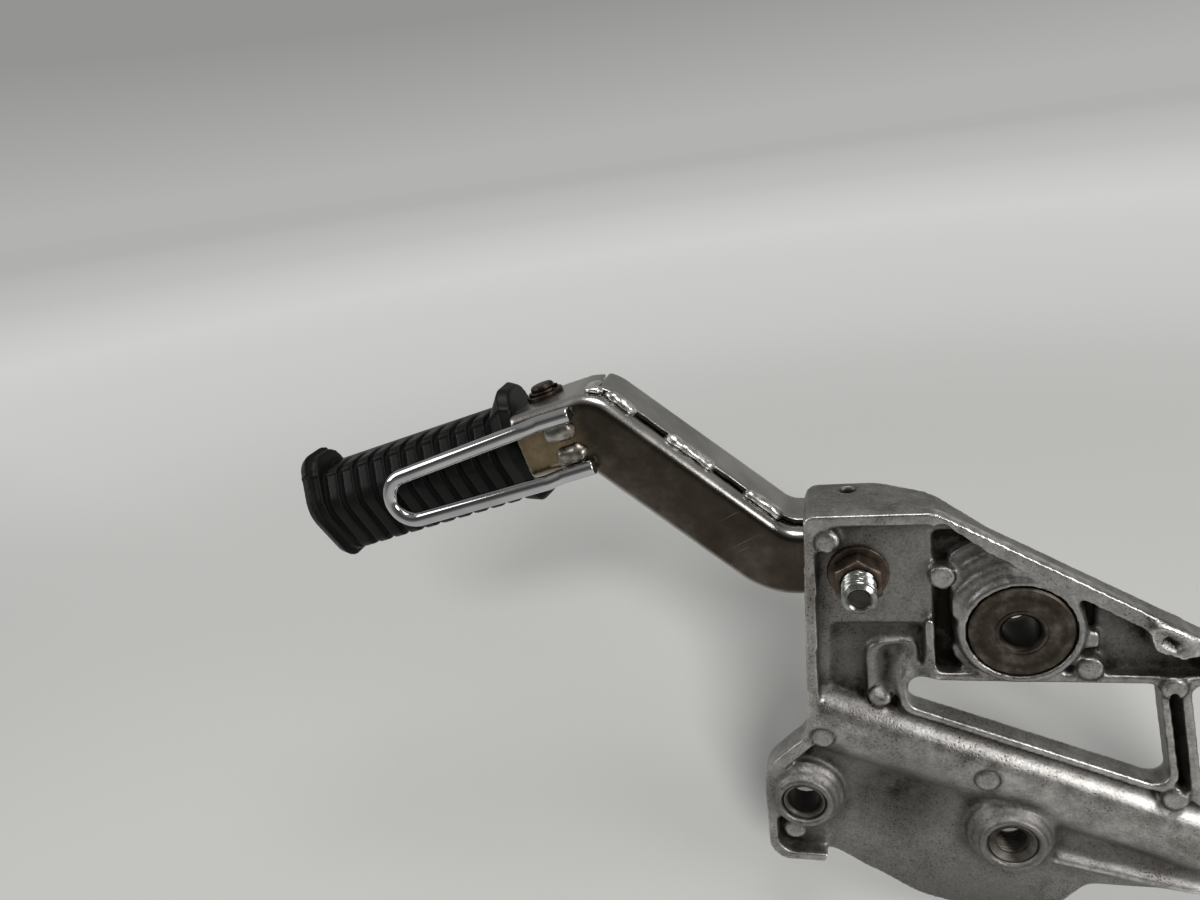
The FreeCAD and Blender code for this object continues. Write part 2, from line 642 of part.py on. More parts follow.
def bush_set():
    """Sleeve with its face disc, rubber ring and end washer of the main bush."""
    disc_bottom = FACE_DISC_Y + FACE_DISC
    sleeve = turned(
        [(SLEEVE_BORE_R, FACE_DISC_Y), (FACE_DISC_R - 0.5, FACE_DISC_Y), (FACE_DISC_R, FACE_DISC_Y + 0.5),
         (FACE_DISC_R, disc_bottom), (SLEEVE_R, disc_bottom), (SLEEVE_R, BUSH_BACK_Y),
         (SLEEVE_BORE_R, BUSH_BACK_Y)], 0.0, 0.0)
    rubber = ring(0.0, 0.0, BUSH_RUBBER_R - BUSH_FIT, SLEEVE_R + BUSH_FIT, disc_bottom, BUSH_BACK_Y)
    washer = ring(0.0, 0.0, FACE_DISC_R, SLEEVE_BORE_R, BUSH_BACK_Y, BUSH_BACK_Y + END_WASHER)
    return {"bush_sleeve": sleeve, "bush_rubber": rubber, "bush_end_washer": washer}


def boss_sleeves():
    """Dowel sleeve of the rear boss and thread insert of the lower boss."""
    dowel_y = BOSS_FRONT_Y + DOWEL_RECESS
    dowel = ring(REAR_BOSS_X, REAR_BOSS_Z, DOWEL_R - BUSH_FIT, DOWEL_BORE_R, dowel_y, WEB_BACK_Y)
    insert_y = BOSS_FRONT_Y + INSERT_RECESS
    insert_r = INSERT_R - BUSH_FIT
    insert = turned(
        [(INSERT_BORE_R, insert_y + INSERT_CHAMFER), (insert_r - 0.3, insert_y), (insert_r, insert_y + 0.3),
         (insert_r, WEB_BACK_Y), (INSERT_BORE_R, WEB_BACK_Y)], LOWER_BOSS_X, LOWER_BOSS_Z)
    return {"dowel_sleeve": dowel, "thread_insert": insert}


def heading(angle):
    """Direction in X and Z of an angle from +X, as a vector."""
    return V(math.cos(math.radians(angle)), 0, math.sin(math.radians(angle)))


RISE = heading(180 - ARM_RISE)
FALL = heading(180 + LUG_FALL)
LOW_ELBOW = V(LOW_ELBOW_X, 0, ARM_LEVEL_Z)
HIGH_ELBOW = LOW_ELBOW + RISE * ELBOW_RUN
BISECTOR = (RISE + FALL).normalize()
PIN_MIDDLE = HIGH_ELBOW + FALL * PIN_RUN + V(0, ARM_FRONT_Y + PIN_DEPTH, 0)
PIVOT = FreeCAD.Placement(PIN_MIDDLE, FreeCAD.Rotation(V(0, 1, 0), -LUG_FALL))


def upright(direction):
    """Direction square to a heading in X and Z, on its upper side for a heading to the left."""
    return V(direction.z, 0, -direction.x)


def at_pivot(shape):
    """Copy of a shape built about the pivot, carried to its place on the arm."""
    placed = shape.copy()
    placed.Placement = PIVOT.multiply(placed.Placement)
    return placed


def ribbon(top, bottom, start_y, end_y, extend):
    """Bent band of the arm seen from the front, as a solid between two depths.

    Args:
        top: Height of the band over the arm's middle line.
        bottom: Depth of the band under that line.
        start_y: Depth of its front.
        end_y: Depth of its back.
        extend: Length added at both ends.

    Returns:
        The solid, square at its edges.
    """
    level = V(-1, 0, 0)
    ends = [V(ARM_END_X + extend, 0, ARM_LEVEL_Z), HIGH_ELBOW + FALL * (PIN_RUN + LUG_REACH + extend)]
    offsets = [
        (ends[0], upright(level), 1.0),
        (LOW_ELBOW, upright((level + RISE).normalize()), 1.0 / math.cos(math.radians(ARM_RISE / 2))),
        (HIGH_ELBOW, upright(BISECTOR), 1.0 / math.cos(math.radians((ARM_RISE + LUG_FALL) / 2))),
        (ends[1], upright(FALL), 1.0),
    ]
    upper = [spot + side * (stretch * top) for spot, side, stretch in offsets]
    lower = [spot - side * (stretch * bottom) for spot, side, stretch in offsets]
    raised = top - ARM_HEIGHT / 2
    dropped = bottom - ARM_HEIGHT / 2
    radii = [0.0, LOW_ELBOW_INNER - raised, HIGH_ELBOW_OUTER + raised, 0.0,
             0.0, HIGH_ELBOW_INNER - dropped, LOW_ELBOW_OUTER + dropped, 0.0]
    points = [(spot.x, spot.z) for spot in upper + lower[::-1]]
    return prism(points, radii, start_y, end_y)


def pressed(solid, face_y, radius):
    """The band with the long edges of one face rounded as a press leaves them."""
    long_edges = []
    for edge in solid.Edges:
        on_face = all(abs(vertex.Y - face_y) < 1e-6 for vertex in edge.Vertexes)
        spot = edge.CenterOfMass
        across_end = any(
            math.hypot(spot.x - end.x, spot.z - end.z) < SHEET
            for end in (V(ARM_END_X, 0, ARM_LEVEL_Z), HIGH_ELBOW + FALL * (PIN_RUN + LUG_REACH)))
        if on_face and not across_end:
            long_edges.append(edge)
    return solid.makeFillet(radius, long_edges)


def half_arm(sign):
    """Everything on one side of the high elbow's bisector, short of the saw gap between the channels."""
    start = HIGH_ELBOW + BISECTOR * (sign * LUG_CUT_GAP / 2)
    far = start + BISECTOR * (sign * 200.0)
    side = upright(BISECTOR) * 150.0
    corners = [start - side, far - side, far + side, start + side]
    return prism([(spot.x, spot.z) for spot in corners], 0.0, 0.0, 60.0)


def arm_channels():
    """Front channel with the lugs of the peg, and rear channel that closes the box."""
    half = ARM_HEIGHT / 2
    inner = half - SHEET
    reach_y = ARM_BACK_Y + 10.0
    front = pressed(ribbon(half, half, ARM_FRONT_Y, reach_y, 0.0), ARM_FRONT_Y, PRESS_RADIUS)
    front = front.cut(ribbon(inner, inner, ARM_FRONT_Y + SHEET, reach_y + OVER, OVER))
    seam_y = ARM_FRONT_Y + FRONT_FLANGE
    flange = Part.makeBox(200, seam_y, 200, V(-180, 0, -50))
    plan = slab(
        [(-LUG_REACH, -PIN_DEPTH - OVER), (60.0, -PIN_DEPTH - OVER), (60.0, LUG_R), (-LUG_REACH, LUG_R)],
        [0.0, 0.0, 0.0, LUG_REACH - 0.5], -60.0, 60.0)
    lugs = at_pivot(plan).common(half_arm(1))
    front = front.common(flange.fuse(lugs))
    pin_hole = Part.makeCylinder(PIN_R + PIN_FIT, 80, V(0, 0, -40))
    bolt_hole = disc(BOLT_X, ARM_LEVEL_Z, BOLT_HOLE_R, 0.0, 60.0)
    front = front.cut([at_pivot(pin_hole), bolt_hole])
    rear_y = seam_y + SEAM_GAP
    rear = ribbon(half + REAR_RISE, half + REAR_DROP, rear_y, ARM_BACK_Y, 0.0)
    rear = pressed(rear, ARM_BACK_Y, PRESS_RADIUS)
    hollow = ribbon(inner + REAR_RISE, inner + REAR_DROP, 0.0, ARM_BACK_Y - SHEET, OVER)
    rear = rear.cut(hollow).common(half_arm(-1)).cut(bolt_hole)
    return front.removeSplitter(), rear.removeSplitter()


def capsule(start, end, radius):
    """Round bar with ball ends."""
    along = end - start
    bar = Part.makeCylinder(radius, along.Length, start, along)
    return bar.fuse([Part.makeSphere(radius, start), Part.makeSphere(radius, end)])


def seam_welds(channels):
    """Beads that join the two channels along the sloping part of the arm."""
    seam = V(0, ARM_FRONT_Y + FRONT_FLANGE + SEAM_GAP / 2, 0)
    depth = ARM_HEIGHT / 2 - BEAD_R * BEAD_SINK
    beads = []
    for places, sign in ((TOP_BEADS, 1), (LOW_BEADS, -1)):
        edge = LOW_ELBOW + seam + upright(RISE) * (sign * depth)
        for start, end in places:
            beads.append(capsule(edge + RISE * start, edge + RISE * end, BEAD_R))
    crest = HIGH_ELBOW + seam + upright(BISECTOR) * (depth - 0.4)
    beads.append(capsule(crest, crest + V(0, ELBOW_BEAD, 0), BEAD_R))
    welds = Part.makeCompound([bead.cut(channels) for bead in beads])
    return welds


def guard_loop():
    """Loop of bent wire: two ends on the face of the arm, and legs that stand off from them."""
    seat_y = ARM_FRONT_Y - WIRE_R
    leg_y = seat_y - LOOP_JOGGLE
    ends = []
    for end, kink in ((LOOP_UPPER_END, LOOP_UPPER_KINK), (LOOP_LOWER_END, LOOP_LOWER_KINK)):
        tail = V(end[0], seat_y, end[1])
        knee = V(kink[0], leg_y, kink[1])
        back = V(tail.x - knee.x, 0, tail.z - knee.z).normalize() * LOOP_JOGGLE_RUN
        ends.append([tail, V(knee.x, seat_y, knee.z) + back, knee])
    tips = [V(LOOP_TIP_X, leg_y, LOOP_TIP_UPPER_Z), V(LOOP_TIP_X, leg_y, LOOP_TIP_LOWER_Z)]
    corners = ends[0] + tips + ends[1][::-1]
    radii = [0.0, KINK_RADIUS, KINK_RADIUS, LOOP_TIP_RADIUS, LOOP_TIP_RADIUS, KINK_RADIUS, KINK_RADIUS, 0.0]
    path = Part.Wire(rounded_edges(corners, radii, closed=False))
    section = Part.Wire(Part.makeCircle(WIRE_R, corners[0], corners[1] - corners[0]))
    return path.makePipeShell([section], True, False)


def loop_welds():
    """Weld blobs on the face of the arm beside the two ends of the guard loop."""
    middle_y = ARM_FRONT_Y + BLOB_R - BLOB_RAISE
    rise = middle_y - (ARM_FRONT_Y - WIRE_R)
    reach = math.sqrt((WIRE_R + BLOB_R + BLOB_FIT) ** 2 - rise ** 2)
    side = 2 * (BLOB_LENGTH + BLOB_R)
    blobs = []
    for end, kink, sign in ((LOOP_UPPER_END, LOOP_UPPER_KINK, -1), (LOOP_LOWER_END, LOOP_LOWER_KINK, 1)):
        along = V(kink[0] - end[0], 0, kink[1] - end[1]).normalize()
        middle = V(end[0], middle_y, end[1]) + along * BLOB_RUN + upright(along) * (sign * reach)
        half = along * (BLOB_LENGTH / 2)
        proud = Part.makeBox(side, ARM_FRONT_Y, side, V(middle.x - side / 2, 0, middle.z - side / 2))
        blobs.append(capsule(middle - half, middle + half, BLOB_R).common(proud))
    return Part.makeCompound(blobs)


def bolt_set():
    """Bolt through plate and arm with its spacer, washers and nut."""
    bearing = ARM_BACK_Y + BOLT_WASHER
    tip = bearing - BOLT_LENGTH
    shank = turned(
        [(0.0, tip + 0.9), (2.6, tip + 0.4), (3.2, tip), (BOLT_R - 1.2, tip), (BOLT_R, tip + 1.2),
         (BOLT_R, bearing), (0.0, bearing)], BOLT_X, ARM_LEVEL_Z)
    head = crowned_hexagon(BOLT_X, ARM_LEVEL_Z, BOLT_FLATS, bearing, bearing + BOLT_HEAD, False)
    nut_seat = FLOOR_Y - NUT_WASHER
    nut = crowned_hexagon(BOLT_X, ARM_LEVEL_Z, NUT_FLATS, nut_seat - NUT_HEIGHT, nut_seat, True)
    nut_bore = disc(BOLT_X, ARM_LEVEL_Z, BOLT_R + PIN_FIT, nut_seat - NUT_HEIGHT - OVER, nut_seat + OVER)
    spacer_y = ARM_FRONT_Y + SHEET
    return {
        "mounting_bolt": shank.fuse(head).removeSplitter(),
        "mounting_nut": nut.cut(nut_bore),
        "nut_washer": ring(BOLT_X, ARM_LEVEL_Z, NUT_WASHER_R, BOLT_HOLE_R, nut_seat, FLOOR_Y),
        "bolt_washer": ring(BOLT_X, ARM_LEVEL_Z, BOLT_WASHER_R, BOLT_HOLE_R, ARM_BACK_Y, bearing),
        "spacer_tube": ring(BOLT_X, ARM_LEVEL_Z, SPACER_R, BOLT_HOLE_R, spacer_y, ARM_BACK_Y - SHEET),
    }


def upright_ring(outer, inner, low, high):
    """Tube along the pivot's own axis between two heights."""
    tube = Part.makeCylinder(outer, high - low, V(0, 0, low))
    return tube.cut(Part.makeCylinder(inner, high - low + 2 * OVER, V(0, 0, low - OVER)))


def pivot_set():
    """Pin with its head, washers and clip, about the pivot."""
    face = ARM_HEIGHT / 2
    inner = face - SHEET
    clip_low = face + PIN_WASHER
    clip_high = clip_low + CLIP
    top = clip_high + PIN_TIP
    pin = turned(
        [(0.0, -face - PIN_HEAD), (PIN_HEAD_R - 0.6, -face - PIN_HEAD), (PIN_HEAD_R, -face - PIN_HEAD + 0.6),
         (PIN_HEAD_R, -face), (PIN_R, -face), (PIN_R, clip_low), (PIN_GROOVE_R, clip_low),
         (PIN_GROOVE_R, clip_high), (PIN_R, clip_high), (PIN_R, top - 0.7), (PIN_R - 0.7, top),
         (0.0, top)], 0.0, 0.0)
    pin.rotate(V(0, 0, 0), V(1, 0, 0), 90)
    mouth = Part.makeBox(CLIP_R + OVER, PIN_GROOVE_R * 1.7, CLIP + 2 * OVER,
                         V(0, -PIN_GROOVE_R * 0.85, clip_low - OVER))
    clip = upright_ring(CLIP_R, PIN_GROOVE_R + PIN_FIT, clip_low, clip_high).cut(mouth)
    pieces = {
        "pivot_pin": pin,
        "pin_clip": clip,
        "pin_washer": upright_ring(PIN_WASHER_R, PIN_R + PIN_FIT, face, clip_low),
        "wave_washer": upright_ring(THRUST_WASHER_R, PIN_R + PIN_FIT, inner - THRUST_WASHER, inner),
        "lower_washer": upright_ring(THRUST_WASHER_R, PIN_R + PIN_FIT, -inner, THRUST_WASHER - inner),
    }
    return {name: at_pivot(shape) for name, shape in pieces.items()}


def peg_core():
    """Steel core of the peg: an eye on the pin, a heel that stops on the arm and a round bar."""
    half = ARM_HEIGHT / 2 - SHEET - THRUST_WASHER - TANG_CLEARANCE
    stop = PIN_DEPTH - SHEET - HEEL_CLEARANCE
    eye = Part.makeCylinder(TANG_R, 2 * half, V(0, 0, -half))
    neck = slab(
        [(-RUBBER_START, -NECK_HALF), (0.0, -TANG_R), (0.0, TANG_R), (-RUBBER_START, NECK_HALF)],
        0.0, -half, half)
    heel = slab(
        [(-HEEL_WIDTH, 0.0), (-HEEL_WIDTH, -stop), (0.0, -stop), (TANG_R, -TANG_R), (TANG_R - 0.4, 0.0)],
        [0.0, 1.0, 4.0, 1.0, 0.0], -half, half)
    length = RUBBER_START + RUBBER_LENGTH - RUBBER_CAP - CORE_FIT
    bar = Part.makeCylinder(CORE_R, length, V(0, 0, 0), V(-1, 0, 0))
    core = eye.fuse([neck, heel, bar])
    core = core.cut(Part.makeCylinder(PIN_R + PIN_FIT, 40, V(0, 0, -20)))
    return at_pivot(core.removeSplitter())


def rubber_section(along, top, side, bottom, half, corners):
    """Outline of the rubber across its length, as a wire at a place along the peg.

    Args:
        along: Distance from the pin towards the tip.
        top: Height of the upper face.
        side: Half width at the widest level.
        bottom: Depth of the lower face.
        half: Half width of the upper and lower faces.
        corners: Radii of the six corners.

    Returns:
        The closed wire, square to the peg.
    """
    points = [(-half, top), (half, top), (side, 0.0), (half, -bottom), (-half, -bottom), (-side, 0.0)]
    wire = Part.Wire(rounded_edges(flat(points), corners))
    wire.rotate(V(0, 0, 0), V(0, 0, 1), 90)
    wire.translate(V(-along, 0, 0))
    return wire


def rubber_block(start, end, first, last):
    """Solid between two sections of the rubber."""
    return Part.makeLoft([rubber_section(start, *first), rubber_section(end, *last)], True, True)


def peg_rubber():
    """Ribbed rubber of the peg with a coned inner flange and a stepped outer flange."""
    body = (BODY_TOP, BODY_SIDE_HALF, BODY_BOTTOM, BODY_TOP_HALF, BODY_CORNERS)
    groove = (BODY_TOP - GROOVE_DEPTH, BODY_SIDE_HALF - GROOVE_DEPTH, BODY_BOTTOM - GROOVE_DEPTH,
              BODY_TOP_HALF - GROOVE_DEPTH / 2, BODY_CORNERS)
    sizes = (BODY_TOP + LIP_TOP, BODY_SIDE_HALF + LIP_SIDE, BODY_BOTTOM + LIP_BOTTOM,
             BODY_TOP_HALF + LIP_HALF)
    lip = (*sizes, LIP_CORNERS)
    step = (*(size - LIP_INSET for size in sizes), LIP_CORNERS)
    tip = RUBBER_START + RUBBER_LENGTH
    ribs_start = RUBBER_START + INNER_LIP + INNER_CONE
    ribs_end = tip - OUTER_LIP - OUTER_STEP
    pieces = [
        rubber_block(RUBBER_START, RUBBER_START + INNER_LIP, step, lip),
        rubber_block(RUBBER_START + INNER_LIP, ribs_start, lip, body),
        rubber_block(ribs_start, ribs_end, groove, groove),
        rubber_block(ribs_end, ribs_end + OUTER_STEP, step, step),
        rubber_block(ribs_end + OUTER_STEP, tip, lip, step),
    ]
    pitch = (ribs_end - ribs_start - GROOVE) / RIB_COUNT
    for index in range(RIB_COUNT):
        start = ribs_start + GROOVE + index * pitch
        pieces.append(rubber_block(start, start + pitch - GROOVE, body, body))
    spine_corner = V(-ribs_end, SPINE_FRONT, CORE_R)
    spine_room = Part.makeBox(ribs_end - ribs_start, BODY_SIDE_HALF, BODY_TOP, spine_corner)
    pieces.append(rubber_block(ribs_start, ribs_end, body, body).common(spine_room))
    rubber = pieces[0].fuse(pieces[1:])
    bore = Part.makeCylinder(CORE_R + CORE_FIT, tip - RUBBER_CAP, V(0, 0, 0), V(-1, 0, 0))
    return at_pivot(rubber.cut(bore))


def build():
    """All pieces by name."""
    front, rear = arm_channels()
    pieces = {
        "hanger_plate": hanger_plate(),
        "front_channel": front,
        "rear_channel": rear,
        "seam_welds": seam_welds([front, rear]),
        "guard_loop": guard_loop(),
        "loop_welds": loop_welds(),
        "peg_core": peg_core(),
        "peg_rubber": peg_rubber(),
    }
    for group in (bush_set(), boss_sleeves(), bolt_set(), pivot_set()):
        pieces.update(group)
    return pieces


os.makedirs("parts", exist_ok=True)
for node, shape in build().items():
    shape.exportStep("parts/" + node + ".step")
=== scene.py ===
"""Looks of a motorcycle footrest hanger: cast plate, welded box arm and folding rubber peg."""

import json
import logging
import math
from dataclasses import dataclass
from enum import Enum

import bmesh
import bpy
import numpy as np
from mathutils import Matrix, Vector, noise


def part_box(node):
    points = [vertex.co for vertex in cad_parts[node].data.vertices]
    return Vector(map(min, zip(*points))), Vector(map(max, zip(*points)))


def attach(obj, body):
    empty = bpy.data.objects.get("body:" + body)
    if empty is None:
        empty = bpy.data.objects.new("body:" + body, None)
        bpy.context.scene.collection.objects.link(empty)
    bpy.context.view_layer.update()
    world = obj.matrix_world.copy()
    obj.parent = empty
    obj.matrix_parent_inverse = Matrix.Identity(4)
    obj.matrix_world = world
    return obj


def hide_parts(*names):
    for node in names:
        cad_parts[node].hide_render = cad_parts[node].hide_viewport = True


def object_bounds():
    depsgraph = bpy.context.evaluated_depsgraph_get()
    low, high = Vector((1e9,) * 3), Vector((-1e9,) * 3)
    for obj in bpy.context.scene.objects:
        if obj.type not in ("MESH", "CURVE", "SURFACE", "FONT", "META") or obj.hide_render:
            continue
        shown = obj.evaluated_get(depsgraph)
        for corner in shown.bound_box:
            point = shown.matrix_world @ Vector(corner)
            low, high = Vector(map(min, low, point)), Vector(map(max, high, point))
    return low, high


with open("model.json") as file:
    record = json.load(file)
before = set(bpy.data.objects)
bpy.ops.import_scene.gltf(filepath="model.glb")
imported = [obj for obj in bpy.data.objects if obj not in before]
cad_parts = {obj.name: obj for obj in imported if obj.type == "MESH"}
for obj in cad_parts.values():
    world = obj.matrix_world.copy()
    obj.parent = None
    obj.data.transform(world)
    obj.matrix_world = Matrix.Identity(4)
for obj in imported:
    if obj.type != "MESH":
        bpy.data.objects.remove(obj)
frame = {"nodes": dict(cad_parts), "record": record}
CAD_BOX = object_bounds()

LOG = logging.getLogger("footrest_hanger")
MM = 0.001
# vertices of a solid that lie closer than this are one
SAME_SPOT_MM = 0.005
# shares of a bead's swelling on its sides and underneath
SIDE_LIFT = 0.5
UNDER_LIFT = 0.1

# places of a mix node's sockets, which share their names
MIX_SHARE = 0
MIX_FLOAT_A = 2
MIX_FLOAT_B = 3
MIX_FLOAT_OUT = 0
MIX_COLOUR_A = 6
MIX_COLOUR_B = 7
MIX_COLOUR_OUT = 2


class Body(Enum):
    """Rigid bodies of the part that a piece can ride on."""

    HANGER = "hanger"
    PEG = "peg"


class Slot(Enum):
    """Material slots of the record."""

    CAST = "cast_aluminium"
    TURNED = "turned_steel"
    RUBBER = "rubber"
    ARM = "arm_steel"
    WELD = "weld_steel"
    CHROME = "chromed_wire"
    ZINC = "zinc_steel"
    OXIDE = "oxide_steel"


def linear(code: str) -> tuple[float, float, float, float]:
    """Turn an sRGB hex colour into linear light.

    Args:
        code: Colour as "#rrggbb".

    Returns:
        Linear red, green, blue and an alpha of one.
    """
    shares = [int(code[at:at + 2], 16) / 255 for at in (1, 3, 5)]
    light = [share / 12.92 if share <= 0.04045 else ((share + 0.055) / 1.055) ** 2.4 for share in shares]
    return (light[0], light[1], light[2], 1.0)


def add_node(tree: bpy.types.NodeTree, kind: str, settings: dict, links: dict) -> bpy.types.Node:
    """Add a node with its settings and links.

    Args:
        tree: Node tree that takes the node.
        kind: Blender's name of the node type.
        settings: Values by property name, or by input name or index; "stops" are a ramp's places and colours.
        links: Output sockets by input name or index.

    Returns:
        The new node.
    """
    node = tree.nodes.new(kind)
    for name, value in settings.items():
        if name == "stops":
            elements = node.color_ramp.elements
            while len(elements) < len(value):
                elements.new(1.0)
            for element, (place, code) in zip(elements, value):
                element.position = place
                element.color = linear(code)
        elif isinstance(name, str) and hasattr(node, name):
            setattr(node, name, value)
        else:
            node.inputs[name].default_value = value
    for name, socket in links.items():
        tree.links.new(socket, node.inputs[name])
    return node


def new_material(name: str) -> tuple[bpy.types.Material, bpy.types.NodeTree, bpy.types.Node]:
    """Start a material.

    Args:
        name: Name of the finish.

    Returns:
        The material, its tree and its shader node.
    """
    material = bpy.data.materials.new(name)
    material.use_nodes = True
    tree = material.node_tree
    return material, tree, tree.nodes["Principled BSDF"]


def tie(tree: bpy.types.NodeTree, shader: bpy.types.Node, colour: bpy.types.NodeSocket,
        rough: bpy.types.NodeSocket, relief: bpy.types.NodeSocket) -> None:
    """Link colour, roughness and relief to a material's shader."""
    for name, socket in (("Base Color", colour), ("Roughness", rough), ("Normal", relief)):
        tree.links.new(socket, shader.inputs[name])


def per_mm(size: float) -> float:
    """Scale of a texture in object metres whose features are as wide as a size in millimetres."""
    return 1.0 / (size * MM)


@dataclass(frozen=True)
class CastAluminium:
    """Die-cast aluminium, blasted and weathered: satin grey, bright on worn edges, partly a painted highlight
    along the sloping rail; dark brown in the hollows from dirt and painted shade, and recesses darkened by
    their depth as painted shade.
    """

    name: str = "cast_aluminium_weathered"
    # grain and pits of a blasted casting are about 0.2 mm wide: drawn coarser, so that they show
    grain_mm: float = 0.8
    pit_mm: float = 1.0
    grain_share: float = 0.45
    blotch_mm: float = 6.0
    stain_mm: float = 22.0
    wear_mm: float = 3.0
    # depths behind the rim's face between which the painted shade of the recesses begins and reaches full
    # strength
    open_mm: float = 1.0
    deep_mm: float = 7.5

    def material(self) -> bpy.types.Material:
        """Build the finish.

        Returns:
            The material.
        """
        material, tree, shader = new_material(self.name)
        spots = add_node(tree, "ShaderNodeTexCoord", {}, {})
        place = spots.outputs["Object"]
        blotch = add_node(tree, "ShaderNodeTexNoise", {"Scale": per_mm(self.blotch_mm), "Detail": 9.0,
                          "Roughness": 0.72}, {"Vector": place}).outputs["Fac"]
        stain = add_node(tree, "ShaderNodeTexNoise", {"Scale": per_mm(self.stain_mm), "Detail": 9.0,
                         "Roughness": 0.72}, {"Vector": place}).outputs["Fac"]
        grain = add_node(tree, "ShaderNodeTexNoise", {"Scale": per_mm(self.grain_mm), "Detail": 3.0},
                         {"Vector": place}).outputs["Fac"]
        chips = add_node(tree, "ShaderNodeTexNoise", {"Scale": per_mm(self.wear_mm), "Detail": 4.0},
                         {"Vector": place}).outputs["Fac"]
        pits = add_node(tree, "ShaderNodeTexVoronoi", {"Scale": per_mm(self.pit_mm), "Randomness": 1.0},
                        {"Vector": place}).outputs["Distance"]
        deep = add_node(tree, "ShaderNodeMapRange", {"From Min": 0.12, "From Max": 0.36, "To Min": 0.9,
                        "To Max": 0.0}, {"Value": pits}).outputs["Result"]
        gathered = add_node(tree, "ShaderNodeMapRange", {"From Min": 0.42, "From Max": 0.6},
                            {"Value": stain}).outputs["Result"]
        pitted = add_node(tree, "ShaderNodeMath", {"operation": "MULTIPLY"},
                          {0: deep, 1: gathered}).outputs[0]
        mottle = add_node(tree, "ShaderNodeMath", {"operation": "MULTIPLY_ADD", 1: self.grain_share},
                          {0: grain, 2: blotch}).outputs[0]
        metal = add_node(tree, "ShaderNodeValToRGB", {"stops": [(0.5, "#7a7773"), (0.72, "#a09e9b"),
                         (0.94, "#c0beba")]}, {"Fac": mottle}).outputs["Color"]
        brown = add_node(tree, "ShaderNodeMapRange", {"From Min": 0.48, "From Max": 0.7, "To Max": 0.55},
                         {"Value": stain}).outputs["Result"]
        stained = add_node(tree, "ShaderNodeMix", {"data_type": "RGBA", MIX_COLOUR_B: linear("#585048")},
                           {MIX_SHARE: brown, MIX_COLOUR_A: metal}).outputs[MIX_COLOUR_OUT]
        spotted = add_node(tree, "ShaderNodeMix", {"data_type": "RGBA", MIX_COLOUR_B: linear("#2f2a25")},
                           {MIX_SHARE: pitted, MIX_COLOUR_A: stained}).outputs[MIX_COLOUR_OUT]
        hollow = add_node(tree, "ShaderNodeAttribute", {"attribute_name": "hollow"}, {}).outputs["Fac"]
        worn = add_node(tree, "ShaderNodeAttribute", {"attribute_name": "worn"}, {}).outputs["Fac"]
        breakup = add_node(tree, "ShaderNodeMath", {"operation": "MULTIPLY_ADD", 1: 1.5, 2: 0.1},
                           {0: blotch}).outputs[0]
        depth = add_node(tree, "ShaderNodeSeparateXYZ", {}, {"Vector": place}).outputs["Y"]
        facing = add_node(tree, "ShaderNodeSeparateXYZ", {}, {"Vector": spots.outputs["Normal"]}).outputs["Y"]
        # painted shade: faces that look forward are darkened the deeper they lie behind the rim's face, as
        # the recesses fall into shade
        recess_shade = add_node(tree, "ShaderNodeMapRange", {"From Min": self.open_mm * MM,
                           "From Max": self.deep_mm * MM, "To Max": 0.58}, {"Value": depth}).outputs["Result"]
        forward = add_node(tree, "ShaderNodeMapRange", {"From Min": 0.3, "From Max": -0.2},
                           {"Value": facing}).outputs["Result"]
        shade_and_hollow = add_node(tree, "ShaderNodeMath", {"operation": "MULTIPLY_ADD"},
                           {0: recess_shade, 1: forward, 2: hollow}).outputs[0]
        dirt_shade_share = add_node(tree, "ShaderNodeMath", {"operation": "MULTIPLY", "use_clamp": True},
                         {0: shade_and_hollow, 1: breakup}).outputs[0]
        # dark brown mix: painted shade in the recesses, dirt and painted shade in the hollows
        grimed_and_shaded = add_node(tree, "ShaderNodeMix", {"data_type": "RGBA", MIX_COLOUR_B: linear("#2b2722")},
                         {MIX_SHARE: dirt_shade_share, MIX_COLOUR_A: spotted}).outputs[MIX_COLOUR_OUT]
        chipped = add_node(tree, "ShaderNodeMapRange", {"From Min": 0.4, "From Max": 0.58, "To Min": 0.3},
                           {"Value": chips}).outputs["Result"]
        # worn edges drawn near white: real wear, and along the sloping rail's front edge partly a painted
        # highlight
        rubbed_and_highlit = add_node(tree, "ShaderNodeMath", {"operation": "MULTIPLY", "use_clamp": True},
                          {0: worn, 1: chipped}).outputs[0]
        bright = add_node(tree, "ShaderNodeMix", {"data_type": "RGBA", MIX_COLOUR_B: linear("#e6e4e0")},
                          {MIX_SHARE: rubbed_and_highlit, MIX_COLOUR_A: grimed_and_shaded}).outputs[MIX_COLOUR_OUT]
        satin = add_node(tree, "ShaderNodeMapRange", {"From Min": 0.3, "From Max": 0.7, "To Min": 0.3,
                         "To Max": 0.44}, {"Value": blotch}).outputs["Result"]
        dull = add_node(tree, "ShaderNodeMix", {MIX_FLOAT_B: 0.65},
                        {MIX_SHARE: dirt_shade_share, MIX_FLOAT_A: satin}).outputs[MIX_FLOAT_OUT]
        rough = add_node(tree, "ShaderNodeMix", {MIX_FLOAT_B: 0.2},
                         {MIX_SHARE: rubbed_and_highlit, MIX_FLOAT_A: dull}).outputs[MIX_FLOAT_OUT]
        height = add_node(tree, "ShaderNodeMath", {"operation": "SUBTRACT"}, {0: grain, 1: pitted}).outputs[0]
        bump = add_node(tree, "ShaderNodeBump", {"Strength": 0.4, "Distance": 0.15 * MM},
                        {"Height": height}).outputs["Normal"]
        shader.inputs["Metallic"].default_value = 1.0
        tie(tree, shader, bright, rough, bump)
        return material


